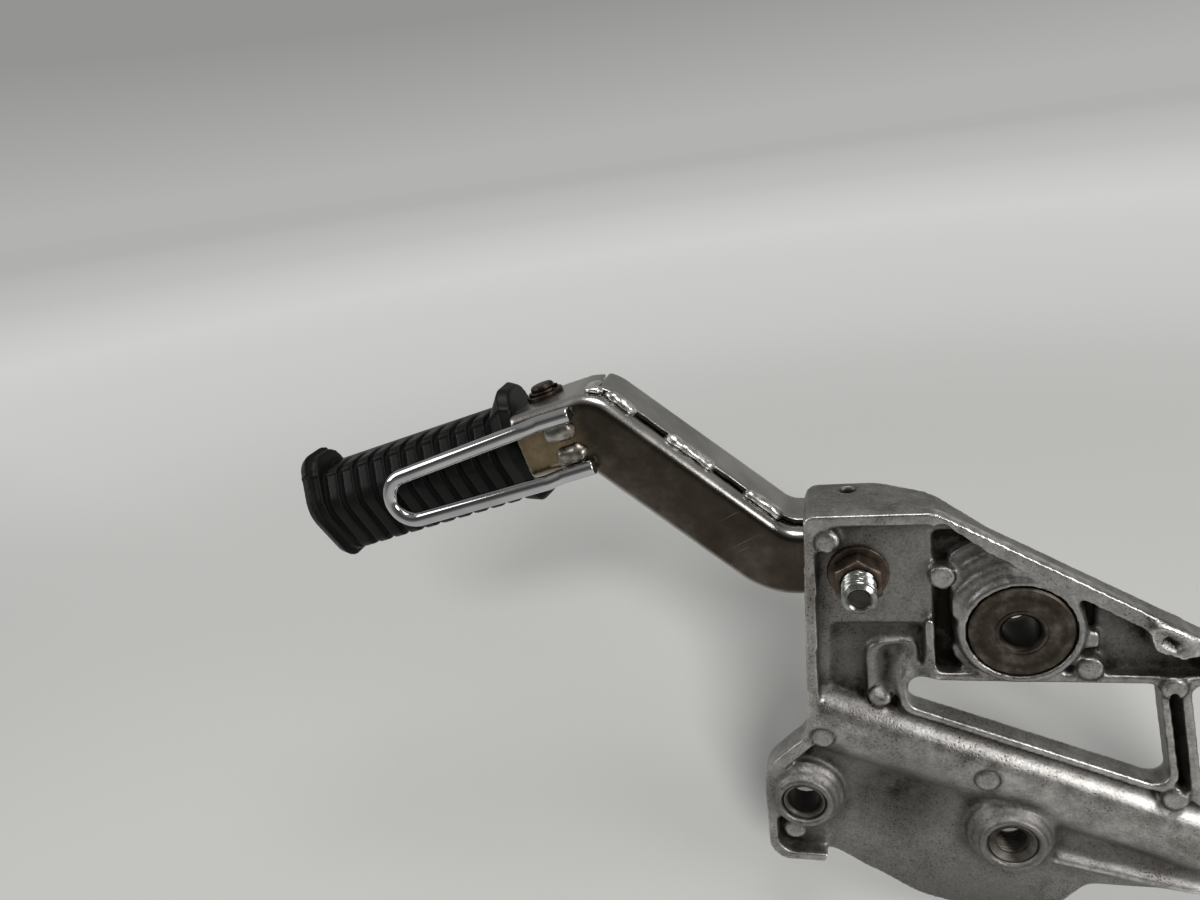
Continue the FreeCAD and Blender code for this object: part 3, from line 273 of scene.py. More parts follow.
@dataclass(frozen=True)
class PlatedSheet:
    """Pressed steel sheet, dull plated: a brown film on faces that look forward and grey on faces that look
    up, a split by facing that is partly painted shade and light; tan heat colour near a weld.
    """

    name: str = "pressed_sheet_dull_plated"
    film_mm: float = 20.0
    # scratches are about 0.1 mm wide: drawn coarser, so that they show; their length is in widths
    scratch_mm: float = 0.8
    scratch_length: float = 30.0
    lean_deg: float = -27.0
    weld_mm: tuple[float, float, float] = (-137.0, 9.0, 60.5)
    scale_mm: float = 3.5
    tint_near_mm: float = 5.0
    tint_far_mm: float = 15.0

    def material(self) -> bpy.types.Material:
        """Build the finish.

        Returns:
            The material.
        """
        material, tree, shader = new_material(self.name)
        spots = add_node(tree, "ShaderNodeTexCoord", {}, {})
        place = spots.outputs["Object"]
        facing = add_node(tree, "ShaderNodeSeparateXYZ", {}, {"Vector": spots.outputs["Normal"]}).outputs["Y"]
        # painted shade and light by facing: faces that look forward take the dark brown, faces that look up
        # the light grey; the fillet stays grey longer, which widens its bright band as a painted highlight
        forward = add_node(tree, "ShaderNodeMapRange", {"From Min": -0.7, "From Max": -0.97},
                           {"Value": facing}).outputs["Result"]
        film = add_node(tree, "ShaderNodeTexNoise", {"Scale": per_mm(self.film_mm), "Detail": 7.0,
                        "Roughness": 0.62}, {"Vector": place}).outputs["Fac"]
        along = add_node(tree, "ShaderNodeMapping", {"vector_type": "TEXTURE",
                         "Rotation": (0.0, math.radians(self.lean_deg), 0.0),
                         "Scale": (self.scratch_length, 1.0, 1.0)}, {"Vector": place}).outputs["Vector"]
        scratch = add_node(tree, "ShaderNodeTexNoise", {"Scale": per_mm(self.scratch_mm), "Detail": 2.0},
                           {"Vector": along}).outputs["Fac"]
        brown = add_node(tree, "ShaderNodeValToRGB", {"stops": [(0.3, "#352f29"), (0.52, "#4a433b"),
                         (0.75, "#6c655d")]}, {"Fac": film}).outputs["Color"]
        grey = add_node(tree, "ShaderNodeValToRGB", {"stops": [(0.3, "#918f8b"), (0.7, "#bdbbb7")]},
                        {"Fac": film}).outputs["Color"]
        # mix by facing: partly painted shade on the front faces and painted light on the top faces
        shaded_front_lit_top = add_node(tree, "ShaderNodeMix", {"data_type": "RGBA"}, {MIX_SHARE: forward,
                         MIX_COLOUR_A: grey, MIX_COLOUR_B: brown}).outputs[MIX_COLOUR_OUT]
        away = add_node(tree, "ShaderNodeVectorMath", {"operation": "DISTANCE",
                        1: tuple(value * MM for value in self.weld_mm)}, {0: place}).outputs["Value"]
        near = add_node(tree, "ShaderNodeMapRange", {"From Min": self.tint_far_mm * MM,
                        "From Max": self.tint_near_mm * MM, "To Max": 1.5}, {"Value": away}).outputs["Result"]
        scale = add_node(tree, "ShaderNodeTexNoise", {"Scale": per_mm(self.scale_mm), "Detail": 6.0,
                         "Roughness": 0.7}, {"Vector": place}).outputs["Fac"]
        uneven = add_node(tree, "ShaderNodeMath", {"operation": "MULTIPLY", "use_clamp": True},
                          {0: near, 1: scale}).outputs[0]
        warmed = add_node(tree, "ShaderNodeMath", {"operation": "MULTIPLY"},
                          {0: uneven, 1: forward}).outputs[0]
        tinted = add_node(tree, "ShaderNodeMix", {"data_type": "RGBA", MIX_COLOUR_B: linear("#9c8a6c")},
                          {MIX_SHARE: warmed, MIX_COLOUR_A: shaded_front_lit_top}).outputs[MIX_COLOUR_OUT]
        hollow = add_node(tree, "ShaderNodeAttribute", {"attribute_name": "hollow"}, {}).outputs["Fac"]
        worn = add_node(tree, "ShaderNodeAttribute", {"attribute_name": "worn"}, {}).outputs["Fac"]
        # hollows darkened near black brown: rust, and painted shade in the gap between the channels
        rust_and_shade = add_node(tree, "ShaderNodeMix", {"data_type": "RGBA", MIX_COLOUR_B: linear("#2a211a")},
                          {MIX_SHARE: hollow, MIX_COLOUR_A: tinted}).outputs[MIX_COLOUR_OUT]
        marks = add_node(tree, "ShaderNodeMapRange", {"From Min": 0.7, "From Max": 0.8, "To Max": 0.4},
                         {"Value": scratch}).outputs["Result"]
        # scratches and worn edges drawn pale; along the pressed edges the bright line is partly a painted
        # highlight
        rubbed_and_highlit = add_node(tree, "ShaderNodeMath", {"operation": "MAXIMUM"}, {0: marks, 1: worn}).outputs[0]
        scored_and_highlit = add_node(tree, "ShaderNodeMix", {"data_type": "RGBA", MIX_COLOUR_B: linear("#cbc9c5")},
                          {MIX_SHARE: rubbed_and_highlit, MIX_COLOUR_A: rust_and_shade}).outputs[MIX_COLOUR_OUT]
        rough = add_node(tree, "ShaderNodeMapRange", {"From Min": 0.3, "From Max": 0.7, "To Min": 0.2,
                         "To Max": 0.34}, {"Value": film}).outputs["Result"]
        bump = add_node(tree, "ShaderNodeBump", {"Strength": 0.12, "Distance": 0.05 * MM},
                        {"Height": scratch}).outputs["Normal"]
        shader.inputs["Metallic"].default_value = 1.0
        tie(tree, shader, scored_and_highlit, rough, bump)
        return material


@dataclass(frozen=True)
class PlainMetal:
    """Steel with a film over it: two colours in soft blotches over a fine grain, hollows darkened by dirt and
    painted shade.
    """

    name: str
    dark: str
    light: str
    dirt_and_shade: str
    blotch_mm: float
    # grain of plating and oxide is under 0.1 mm wide: drawn coarser, so that it shows
    grain_mm: float
    rough_low: float
    rough_high: float
    relief: float

    def material(self) -> bpy.types.Material:
        """Build the finish.

        Returns:
            The material.
        """
        material, tree, shader = new_material(self.name)
        place = add_node(tree, "ShaderNodeTexCoord", {}, {}).outputs["Object"]
        blotch = add_node(tree, "ShaderNodeTexNoise", {"Scale": per_mm(self.blotch_mm), "Detail": 5.0},
                          {"Vector": place}).outputs["Fac"]
        grain = add_node(tree, "ShaderNodeTexNoise", {"Scale": per_mm(self.grain_mm), "Detail": 2.0},
                         {"Vector": place}).outputs["Fac"]
        tone = add_node(tree, "ShaderNodeValToRGB", {"stops": [(0.35, self.dark), (0.65, self.light)]},
                        {"Fac": blotch}).outputs["Color"]
        hollow = add_node(tree, "ShaderNodeAttribute", {"attribute_name": "hollow"}, {}).outputs["Fac"]
        # hollows darkened towards the dark colour: dirt, and painted shade in creases, bores and thread roots
        colour = add_node(tree, "ShaderNodeMix", {"data_type": "RGBA", MIX_COLOUR_B: linear(self.dirt_and_shade)},
                          {MIX_SHARE: hollow, MIX_COLOUR_A: tone}).outputs[MIX_COLOUR_OUT]
        rough = add_node(tree, "ShaderNodeMapRange", {"From Min": 0.3, "From Max": 0.7,
                         "To Min": self.rough_low, "To Max": self.rough_high},
                         {"Value": grain}).outputs["Result"]
        bump = add_node(tree, "ShaderNodeBump", {"Strength": self.relief, "Distance": 0.1 * MM},
                        {"Height": grain}).outputs["Normal"]
        shader.inputs["Metallic"].default_value = 1.0
        tie(tree, shader, colour, rough, bump)
        return material


@dataclass(frozen=True)
class TurnedSteel:
    """Lathe-turned steel under a dark brown patina: fine rings about the axis of the main bush."""

    name: str = "turned_steel_dark_patina"
    # rings left by a lathe are about 0.2 mm apart: drawn much coarser, so that they show
    ring_mm: float = 5.655
    blotch_mm: float = 6.0
    # radians of wave in one unit of the ring texture
    wave_radians: float = 20.0

    def material(self) -> bpy.types.Material:
        """Build the finish.

        Returns:
            The material.
        """
        material, tree, shader = new_material(self.name)
        place = add_node(tree, "ShaderNodeTexCoord", {}, {}).outputs["Object"]
        blotch = add_node(tree, "ShaderNodeTexNoise", {"Scale": per_mm(self.blotch_mm), "Detail": 7.0,
                          "Roughness": 0.66}, {"Vector": place}).outputs["Fac"]
        rings = add_node(tree, "ShaderNodeTexWave", {"wave_type": "RINGS", "rings_direction": "Y",
                         "Scale": per_mm(self.ring_mm) * math.tau / self.wave_radians, "Distortion": 0.6,
                         "Detail": 2.0, "Detail Scale": 3.0}, {"Vector": place}).outputs["Fac"]
        patina = add_node(tree, "ShaderNodeValToRGB", {"stops": [(0.3, "#332e28"), (0.5, "#4b453d"),
                          (0.68, "#716a60")]}, {"Fac": blotch}).outputs["Color"]
        grooves = add_node(tree, "ShaderNodeMapRange", {"From Min": 0.45, "From Max": 0.0, "To Max": 0.5},
                           {"Value": rings}).outputs["Result"]
        ringed = add_node(tree, "ShaderNodeMix", {"data_type": "RGBA", MIX_COLOUR_B: linear("#2a241f")},
                          {MIX_SHARE: grooves, MIX_COLOUR_A: patina}).outputs[MIX_COLOUR_OUT]
        hollow = add_node(tree, "ShaderNodeAttribute", {"attribute_name": "hollow"}, {}).outputs["Fac"]
        # hollows darkened near black: dirt, and painted shade in the bore and the groove
        colour = add_node(tree, "ShaderNodeMix", {"data_type": "RGBA", MIX_COLOUR_B: linear("#14110f")},
                          {MIX_SHARE: hollow, MIX_COLOUR_A: ringed}).outputs[MIX_COLOUR_OUT]
        rough = add_node(tree, "ShaderNodeMapRange", {"From Min": 0.3, "From Max": 0.7, "To Min": 0.34,
                         "To Max": 0.5}, {"Value": blotch}).outputs["Result"]
        bump = add_node(tree, "ShaderNodeBump", {"Strength": 0.3, "Distance": 0.06 * MM},
                        {"Height": rings}).outputs["Normal"]
        shader.inputs["Metallic"].default_value = 1.0
        tie(tree, shader, colour, rough, bump)
        return material


@dataclass(frozen=True)
class MouldedRubber:
    """Moulded black rubber: semi-gloss skin on the ribs, dull in the grooves, faint dust in patches."""

    name: str = "moulded_rubber_black"
    dust_mm: float = 16.0
    # grain of the mould is about 0.1 mm wide: drawn coarser, so that it shows
    skin_mm: float = 0.8

    def material(self) -> bpy.types.Material:
        """Build the finish.

        Returns:
            The material.
        """
        material, tree, shader = new_material(self.name)
        place = add_node(tree, "ShaderNodeTexCoord", {}, {}).outputs["Object"]
        dust = add_node(tree, "ShaderNodeTexNoise", {"Scale": per_mm(self.dust_mm), "Detail": 7.0,
                        "Roughness": 0.65}, {"Vector": place}).outputs["Fac"]
        skin = add_node(tree, "ShaderNodeTexNoise", {"Scale": per_mm(self.skin_mm), "Detail": 2.0},
                        {"Vector": place}).outputs["Fac"]
        tone = add_node(tree, "ShaderNodeValToRGB", {"stops": [(0.4, "#030303"), (0.58, "#050504"),
                        (0.8, "#100e0c")]}, {"Fac": dust}).outputs["Color"]
        hollow = add_node(tree, "ShaderNodeAttribute", {"attribute_name": "hollow"}, {}).outputs["Fac"]
        # grooves darkened towards black: painted shade
        colour = add_node(tree, "ShaderNodeMix", {"data_type": "RGBA", MIX_COLOUR_B: linear("#030303")},
                          {MIX_SHARE: hollow, MIX_COLOUR_A: tone}).outputs[MIX_COLOUR_OUT]
        gloss = add_node(tree, "ShaderNodeMapRange", {"From Min": 0.35, "From Max": 0.7, "To Min": 0.34,
                         "To Max": 0.5}, {"Value": dust}).outputs["Result"]
        rough = add_node(tree, "ShaderNodeMix", {MIX_FLOAT_B: 0.75},
                         {MIX_SHARE: hollow, MIX_FLOAT_A: gloss}).outputs[MIX_FLOAT_OUT]
        bump = add_node(tree, "ShaderNodeBump", {"Strength": 0.12, "Distance": 0.1 * MM},
                        {"Height": skin}).outputs["Normal"]
        shader.inputs["Specular IOR Level"].default_value = 0.14
        tie(tree, shader, colour, rough, bump)
        return material


@dataclass
class Finishes:
    """The materials of the part, made once."""

    def __post_init__(self) -> None:
        """Build every material."""
        self.cast = CastAluminium().material()
        self.sheet = PlatedSheet().material()
        self.turned = TurnedSteel().material()
        self.rubber = MouldedRubber().material()
        # bright bead: silver skin of a weld, glossy where it froze, dark at its foot from soot and painted
        # shade
        self.weld = PlainMetal(
            "weld_bead_bright", dark="#b2aea8", light="#f0efec", dirt_and_shade="#3b332b", blotch_mm=2.4,
            grain_mm=0.8, rough_low=0.2, rough_high=0.36, relief=0.2).material()
        # dull bead: grey skin of a weld that was brushed and browned
        self.dull_weld = PlainMetal(
            "weld_bead_dull", dark="#77716a", light="#b5b0a8", dirt_and_shade="#3b332b", blotch_mm=3.0,
            grain_mm=0.8, rough_low=0.24, rough_high=0.4, relief=0.2).material()
        # decorative chromium: near mirror, faint haze
        self.chrome = PlainMetal(
            "chromium_plate", dark="#aeaeb0", light="#cacacc", dirt_and_shade="#3c3834", blotch_mm=24.0,
            grain_mm=1.2, rough_low=0.05, rough_high=0.1, relief=0.02).material()
        # zinc plate: bright, slightly milky, darker in the roots of a thread from dirt and painted shade
        self.zinc = PlainMetal(
            "zinc_plate_bright", dark="#7c7c79", light="#b2b2af", dirt_and_shade="#2d2a27", blotch_mm=4.0,
            grain_mm=0.5, rough_low=0.18, rough_high=0.3, relief=0.1).material()
        # dull steel: sleeves that were never plated, grey, darker in the thread from dirt and painted shade
        self.dull_steel = PlainMetal(
            "steel_dull_grey", dark="#5c5751", light="#857f77", dirt_and_shade="#1f1c19", blotch_mm=3.0,
            grain_mm=0.5, rough_low=0.42, rough_high=0.58, relief=0.25).material()
        # dark oxide: pin and clip, nearly black
        self.dark_oxide = PlainMetal(
            "steel_dark_oxide", dark="#272220", light="#453c35", dirt_and_shade="#0d0b0a", blotch_mm=3.0,
            grain_mm=0.4, rough_low=0.36, rough_high=0.52, relief=0.3).material()
        # brown oxide: hardware long unplated, matt and dark
        self.oxide = PlainMetal(
            "steel_brown_oxide", dark="#4a4037", light="#6e6257", dirt_and_shade="#241d18", blotch_mm=3.0,
            grain_mm=0.4, rough_low=0.38, rough_high=0.55, relief=0.3).material()


def coat(target: bpy.types.Object, material: bpy.types.Material) -> None:
    """Put one material on all of an object's slots.

    Args:
        target: The object.
        material: Its finish.
    """
    if not target.material_slots:
        target.data.materials.append(material)
    for place in target.material_slots:
        place.material = material


def solid_copy(node: str) -> bpy.types.Mesh:
    """Copy the mesh of a solid with its seams closed.

    Args:
        node: The solid.

    Returns:
        The new mesh.
    """
    work = bmesh.new()
    work.from_mesh(frame["nodes"][node].data)
    bmesh.ops.remove_doubles(work, verts=work.verts, dist=SAME_SPOT_MM * MM)
    bmesh.ops.recalc_face_normals(work, faces=work.faces)
    mesh = bpy.data.meshes.new(node + "_copy")
    work.to_mesh(mesh)
    work.free()
    return mesh


def even_skin(mesh: bpy.types.Mesh, voxel_mm: float) -> bpy.types.Mesh:
    """Rebuild a closed mesh as an even skin of small faces.

    Args:
        mesh: The closed mesh.
        voxel_mm: Size of the faces.

    Returns:
        The new mesh.
    """
    holder = bpy.data.objects.new("skin_work", mesh)
    bpy.context.scene.collection.objects.link(holder)
    step = holder.modifiers.new("skin", "REMESH")
    step.mode = "VOXEL"
    step.voxel_size = voxel_mm * MM
    step.use_smooth_shade = True
    graph = bpy.context.evaluated_depsgraph_get()
    skin = bpy.data.meshes.new_from_object(holder.evaluated_get(graph))
    bpy.data.objects.remove(holder)
    return skin


def neighbour_mean(spots: np.ndarray, edges: np.ndarray, counts: np.ndarray) -> np.ndarray:
    """Mean of each vertex's neighbours.

    Args:
        spots: Places of the vertices.
        edges: The two ends of each edge.
        counts: Neighbours of each vertex.

    Returns:
        One mean place for each vertex.
    """
    total = np.zeros_like(spots)
    for axis in range(spots.shape[1]):
        total[:, axis] = np.bincount(edges[:, 0], spots[edges[:, 1], axis], len(spots))
        total[:, axis] += np.bincount(edges[:, 1], spots[edges[:, 0], axis], len(spots))
    return total / counts[:, None]


def vertex_places(mesh: bpy.types.Mesh) -> np.ndarray:
    """Places of a mesh's vertices, one a row.

    Args:
        mesh: The mesh.

    Returns:
        Places in metres.
    """
    spots = np.empty(len(mesh.vertices) * 3)
    mesh.vertices.foreach_get("co", spots)
    return spots.reshape(-1, 3)


def vertex_normals(mesh: bpy.types.Mesh) -> np.ndarray:
    """Normals of a mesh's vertices.

    Args:
        mesh: The mesh.

    Returns:
        Normals, one a row.
    """
    normals = np.empty(len(mesh.vertices) * 3)
    mesh.vertex_normals.foreach_get("vector", normals)
    return normals.reshape(-1, 3)


def move_vertices(mesh: bpy.types.Mesh, spots: np.ndarray) -> None:
    """Put a mesh's vertices in new places."""
    mesh.vertices.foreach_set("co", spots.ravel())
    mesh.update()


def mesh_arrays(mesh: bpy.types.Mesh) -> tuple[np.ndarray, np.ndarray, np.ndarray]:
    """Vertex places, edge ends and neighbour counts of a mesh.

    Args:
        mesh: The mesh.

    Returns:
        The three arrays.
    """
    edges = np.empty(len(mesh.edges) * 2, dtype=np.int64)
    mesh.edges.foreach_get("vertices", edges)
    edges = edges.reshape(-1, 2)
    counts = np.bincount(edges.ravel(), minlength=len(mesh.vertices)).astype(float)
    return vertex_places(mesh), edges, np.maximum(counts, 1.0)


def soften(mesh: bpy.types.Mesh, passes: int) -> None:
    """Round the edges of an even skin without shrinking its broad faces.

    Args:
        mesh: The even skin.
        passes: How often each vertex moves half way to its neighbours' mean.
    """
    spots, edges, counts = mesh_arrays(mesh)
    for _ in range(passes):
        spots = 0.5 * spots + 0.5 * neighbour_mean(spots, edges, counts)
    move_vertices(mesh, spots)


def fill_corners(mesh: bpy.types.Mesh, passes: int, least_mm: float) -> None:
    """Fill the inner corners of an even skin, as a mould's fillets do, and leave its outer edges.

    Args:
        mesh: The even skin.
        passes: How often each hollow vertex moves half way to its neighbours' mean.
        least_mm: Height of the neighbours' mean over a vertex that counts as a corner.
    """
    spots, edges, counts = mesh_arrays(mesh)
    for _ in range(passes):
        normals = vertex_normals(mesh)
        move = neighbour_mean(spots, edges, counts) - spots
        rise = (move * normals).sum(axis=1)
        spots = spots + 0.5 * move * (rise > least_mm * MM)[:, None]
        move_vertices(mesh, spots)


def store_values(mesh: bpy.types.Mesh, name: str, values: np.ndarray) -> None:
    """Keep one value from nought to one for each vertex under a name that a finish reads.

    Args:
        mesh: The mesh.
        name: Name of the values.
        values: One for each vertex.
    """
    layer = mesh.attributes.get(name)
    if layer is None:
        layer = mesh.attributes.new(name, "FLOAT", "POINT")
    layer.data.foreach_set("value", np.clip(values, 0.0, 1.0).astype(np.float32))


def stored_values(mesh: bpy.types.Mesh, name: str) -> np.ndarray:
    """Values that a mesh keeps for its vertices under a name.

    Args:
        mesh: The mesh.
        name: Name of the values.

    Returns:
        One value for each vertex.
    """
    layer = mesh.attributes[name].data
    kept = np.empty(len(layer), dtype=np.float32)
    layer.foreach_get("value", kept)
    return kept


def raise_values(mesh: bpy.types.Mesh, name: str, values: np.ndarray) -> None:
    """Lift the stored values of a mesh where new ones are higher."""
    store_values(mesh, name, np.maximum(stored_values(mesh, name), values))


def fade_values(mesh: bpy.types.Mesh, name: str, shares: np.ndarray) -> None:
    """Lower the stored values of a mesh by a share of each."""
    store_values(mesh, name, stored_values(mesh, name) * (1.0 - shares))


def line_distance(flat: np.ndarray, start: tuple[float, float], end: tuple[float, float]) -> np.ndarray:
    """Distance of points in a plane from a straight run.

    Args:
        flat: Points, one a row.
        start: First end of the run.
        end: Other end of the run.

    Returns:
        One distance for each point.
    """
    run = np.subtract(end, start)
    share = np.clip((flat - start) @ run / (run @ run), 0.0, 1.0)
    return np.hypot(*(flat - start - share[:, None] * run).T)


@dataclass(frozen=True)
class Wear:
    """How a skin's edges and hollows are found: smoothing passes, and the heights that count in full."""

    edge_passes: int = 6
    edge_mm: float = 0.8
    edge_start: float = 0.4
    hollow_passes: int = 60
    hollow_mm: float = 1.6

    def keep(self, mesh: bpy.types.Mesh) -> None:
        """Store where a skin is proud and where it is hollow.

        Args:
            mesh: The even skin.
        """
        spots, edges, counts = mesh_arrays(mesh)
        normals = vertex_normals(mesh)
        smooth = spots
        fine = spots
        for turn in range(self.hollow_passes):
            smooth = neighbour_mean(smooth, edges, counts)
            if turn == self.edge_passes - 1:
                fine = smooth
        proud = ((spots - fine) * normals).sum(axis=1) / (self.edge_mm * MM)
        sunk = -((spots - smooth) * normals).sum(axis=1) / (self.hollow_mm * MM)
        store_values(mesh, "worn", (proud - self.edge_start) / (1.0 - self.edge_start))
        store_values(mesh, "hollow", sunk)


def swell(mesh: bpy.types.Mesh, height_mm: float) -> None:
    """Lift a skin's vertices along their normals, less where they look down.

    Args:
        mesh: The even skin.
        height_mm: Lift of a face that looks up.
    """
    spots = vertex_places(mesh)
    normals = vertex_normals(mesh)
    share = np.clip(SIDE_LIFT + normals[:, 2], UNDER_LIFT, 1.0)
    spots = spots + normals * share[:, None] * height_mm * MM
    move_vertices(mesh, spots)


def roughen(mesh: bpy.types.Mesh, size_mm: float, height_mm: float, seed: float) -> None:
    """Lift a skin's vertices by a smooth noise, as a casting or a bead has it.

    Args:
        mesh: The even skin.
        size_mm: Width of the lumps.
        height_mm: Height of the lumps.
        seed: Shift of the noise.
    """
    spots = vertex_places(mesh)
    normals = vertex_normals(mesh)
    shift = Vector((seed, seed * 2.0, seed * 3.0))
    lift = np.array([noise.noise(Vector(spot) * per_mm(size_mm) + shift) for spot in spots])
    spots = spots + normals * (lift * height_mm * MM)[:, None]
    move_vertices(mesh, spots)


@dataclass(frozen=True)
class Thread:
    """A screw thread along Y on a turned piece, cut inward on a stud or outward in a bore."""

    pitch_mm: float
    depth_mm: float
    radius_mm: float
    from_mm: float
    to_mm: float
    near_mm: float = 0.01

    def cut(self, along: float, radius: float, angle: float) -> float:
        """Share of the thread's depth that is cut at a point of the turned form.

        Args:
            along: Place along the axis, in millimetres.
            radius: Radius of the plain form there.
            angle: Angle about the axis, in radians.

        Returns:
            Nought at the crest or off the thread, one at the root.
        """
        if abs(radius - self.radius_mm) > self.near_mm or not self.from_mm < along < self.to_mm:
            return 0.0
        phase = (along / self.pitch_mm - angle / math.tau) % 1.0
        run_in = min(1.0, (along - self.from_mm) / self.pitch_mm, (self.to_mm - along) / self.pitch_mm)
        return abs(2.0 * phase - 1.0) * run_in


@dataclass(frozen=True)
class TurnedForm:
    """A form turned about an axis along Y, with its outline in millimetres and how dark it is drawn along it:
    dirt, and painted shade in bores, grooves and thread roots.
    """

    name: str
    outline: tuple[tuple[float, float, float], ...]
    thread: Thread | None = None
    step_mm: float = 0.5
    thread_step_mm: float = 0.15
    sides: int = 72
    crease_deg: float = 35.0
    same_spot_mm: float = 0.001

    def rows(self) -> list[tuple[float, float, float]]:
        """Outline with points in between, as place, radius and dirt.

        Returns:
            Outline with points in between, as place, radius and darkness from dirt and painted shade.
        """
        step = self.thread_step_mm if self.thread else self.step_mm
        rows = [self.outline[0]]
        for start, end in zip(self.outline, self.outline[1:]):
            pieces = max(1, math.ceil(math.hypot(end[0] - start[0], end[1] - start[1]) / step))
            for piece in range(1, pieces + 1):
                share = piece / pieces
                rows.append(tuple(a + (b - a) * share for a, b in zip(start, end)))
        return rows

    def mesh(self, axis: Vector) -> bpy.types.Mesh:
        """Build the form about an axis through a point.

        Args:
            axis: The point, in metres.

        Returns:
            The new mesh.
        """
        work = bmesh.new()
        dirt_and_shade = work.verts.layers.float.new("hollow")
        rings = []
        for along, radius, dirt_shade_share in self.rows():
            ring = []
            for side in range(self.sides):
                angle = math.tau * side / self.sides
                cut = self.thread.cut(along, radius, angle) if self.thread else 0.0
                reach = (radius + cut * (self.thread.depth_mm if self.thread else 0.0)) * MM
                across = axis.x + reach * math.cos(angle)
                vertex = work.verts.new((across, along * MM, axis.z + reach * math.sin(angle)))
                # darkness along the outline and in the thread's roots, read by the finish as hollow: dirt and
                # painted shade
                vertex[dirt_and_shade] = max(dirt_shade_share, cut * cut)
                ring.append(vertex)
            rings.append(ring)
        for ring, after in zip(rings, rings[1:]):
            for side in range(self.sides):
                beyond = (side + 1) % self.sides
                work.faces.new((ring[side], ring[beyond], after[beyond], after[side]))
        bmesh.ops.remove_doubles(work, verts=work.verts, dist=self.same_spot_mm * MM)
        bmesh.ops.recalc_face_normals(work, faces=work.faces)
        mesh = bpy.data.meshes.new(self.name)
        work.to_mesh(mesh)
        work.free()
        mesh.shade_smooth()
        mesh.set_sharp_from_angle(angle=math.radians(self.crease_deg))
        return mesh


def axis_of(node: str) -> Vector:
    """A point on the axis of a round solid that lies along Y."""
    low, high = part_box(node)
    return (Vector(low) + Vector(high)) / 2


def beyond_level(mesh: bpy.types.Mesh, level_mm: float) -> bpy.types.Mesh:
    """Keep the part of a mesh that lies beyond a place along Y, closed by a flat end.

    Args:
        mesh: A closed mesh, which is cut.
        level_mm: The place.

    Returns:
        The same mesh.
    """
    work = bmesh.new()
    work.from_mesh(mesh)
    every = work.verts[:] + work.edges[:] + work.faces[:]
    found = bmesh.ops.bisect_plane(work, geom=every, plane_co=(0.0, level_mm * MM, 0.0),
                                   plane_no=(0.0, 1.0, 0.0), clear_inner=True)
    rim = [item for item in found["geom_cut"] if isinstance(item, bmesh.types.BMEdge)]
    bmesh.ops.edgeloop_fill(work, edges=rim)
    bmesh.ops.recalc_face_normals(work, faces=work.faces)
    work.to_mesh(mesh)
    work.free()
    return mesh


def joined(name: str, meshes: tuple[bpy.types.Mesh, ...]) -> bpy.types.Mesh:
    """One mesh of several, with their stored values.

    Args:
        name: Name of the new mesh.
        meshes: What it is made of.

    Returns:
        The new mesh.
    """
    work = bmesh.new()
    for mesh in meshes:
        work.from_mesh(mesh)
    made = bpy.data.meshes.new(name)
    work.to_mesh(made)
    work.free()
    return made


@dataclass
class SubAssembly:
    """A group of pieces that ride on one body."""

    finishes: Finishes
    body: Body = Body.HANGER

    def place(self, name: str, mesh: bpy.types.Mesh, slot: Slot, finish: bpy.types.Material,
              node: str) -> bpy.types.Object:
        """Make an object of a mesh, tie it to the body and dress it.

        Args:
            name: Name of the piece.
            mesh: Its mesh, in metres.
            slot: Record slot of its finish; not used.
            finish: Its material.
            node: Solid that it stands for.

        Returns:
            The new object.
        """
        move_vertices(mesh, np.clip(vertex_places(mesh), *CAD_BOX))
        made = bpy.data.objects.new(name, mesh)
        bpy.context.scene.collection.objects.link(made)
        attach(made, self.body.value)
        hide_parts(node)
        coat(made, finish)
        LOG.info("%s: %d faces", name, len(mesh.polygons))
        return made

    def skin(self, node: str, voxel_mm: float, passes: int, wear: Wear) -> bpy.types.Mesh:
        """Even skin of a solid with softened edges and its wear stored.

        Args:
            node: The solid.
            voxel_mm: Size of the skin's faces.
            passes: How far its edges are rounded.
            wear: How its edges and hollows are found.

        Returns:
            The new mesh.
        """
        mesh = even_skin(solid_copy(node), voxel_mm)
        soften(mesh, passes)
        wear.keep(mesh)
        return mesh

    def dress(self, node: str, finish: bpy.types.Material) -> None:
        """Give a solid that stays in view its finish."""
        coat(frame["nodes"][node], finish)
        LOG.info("%s: dressed", node)


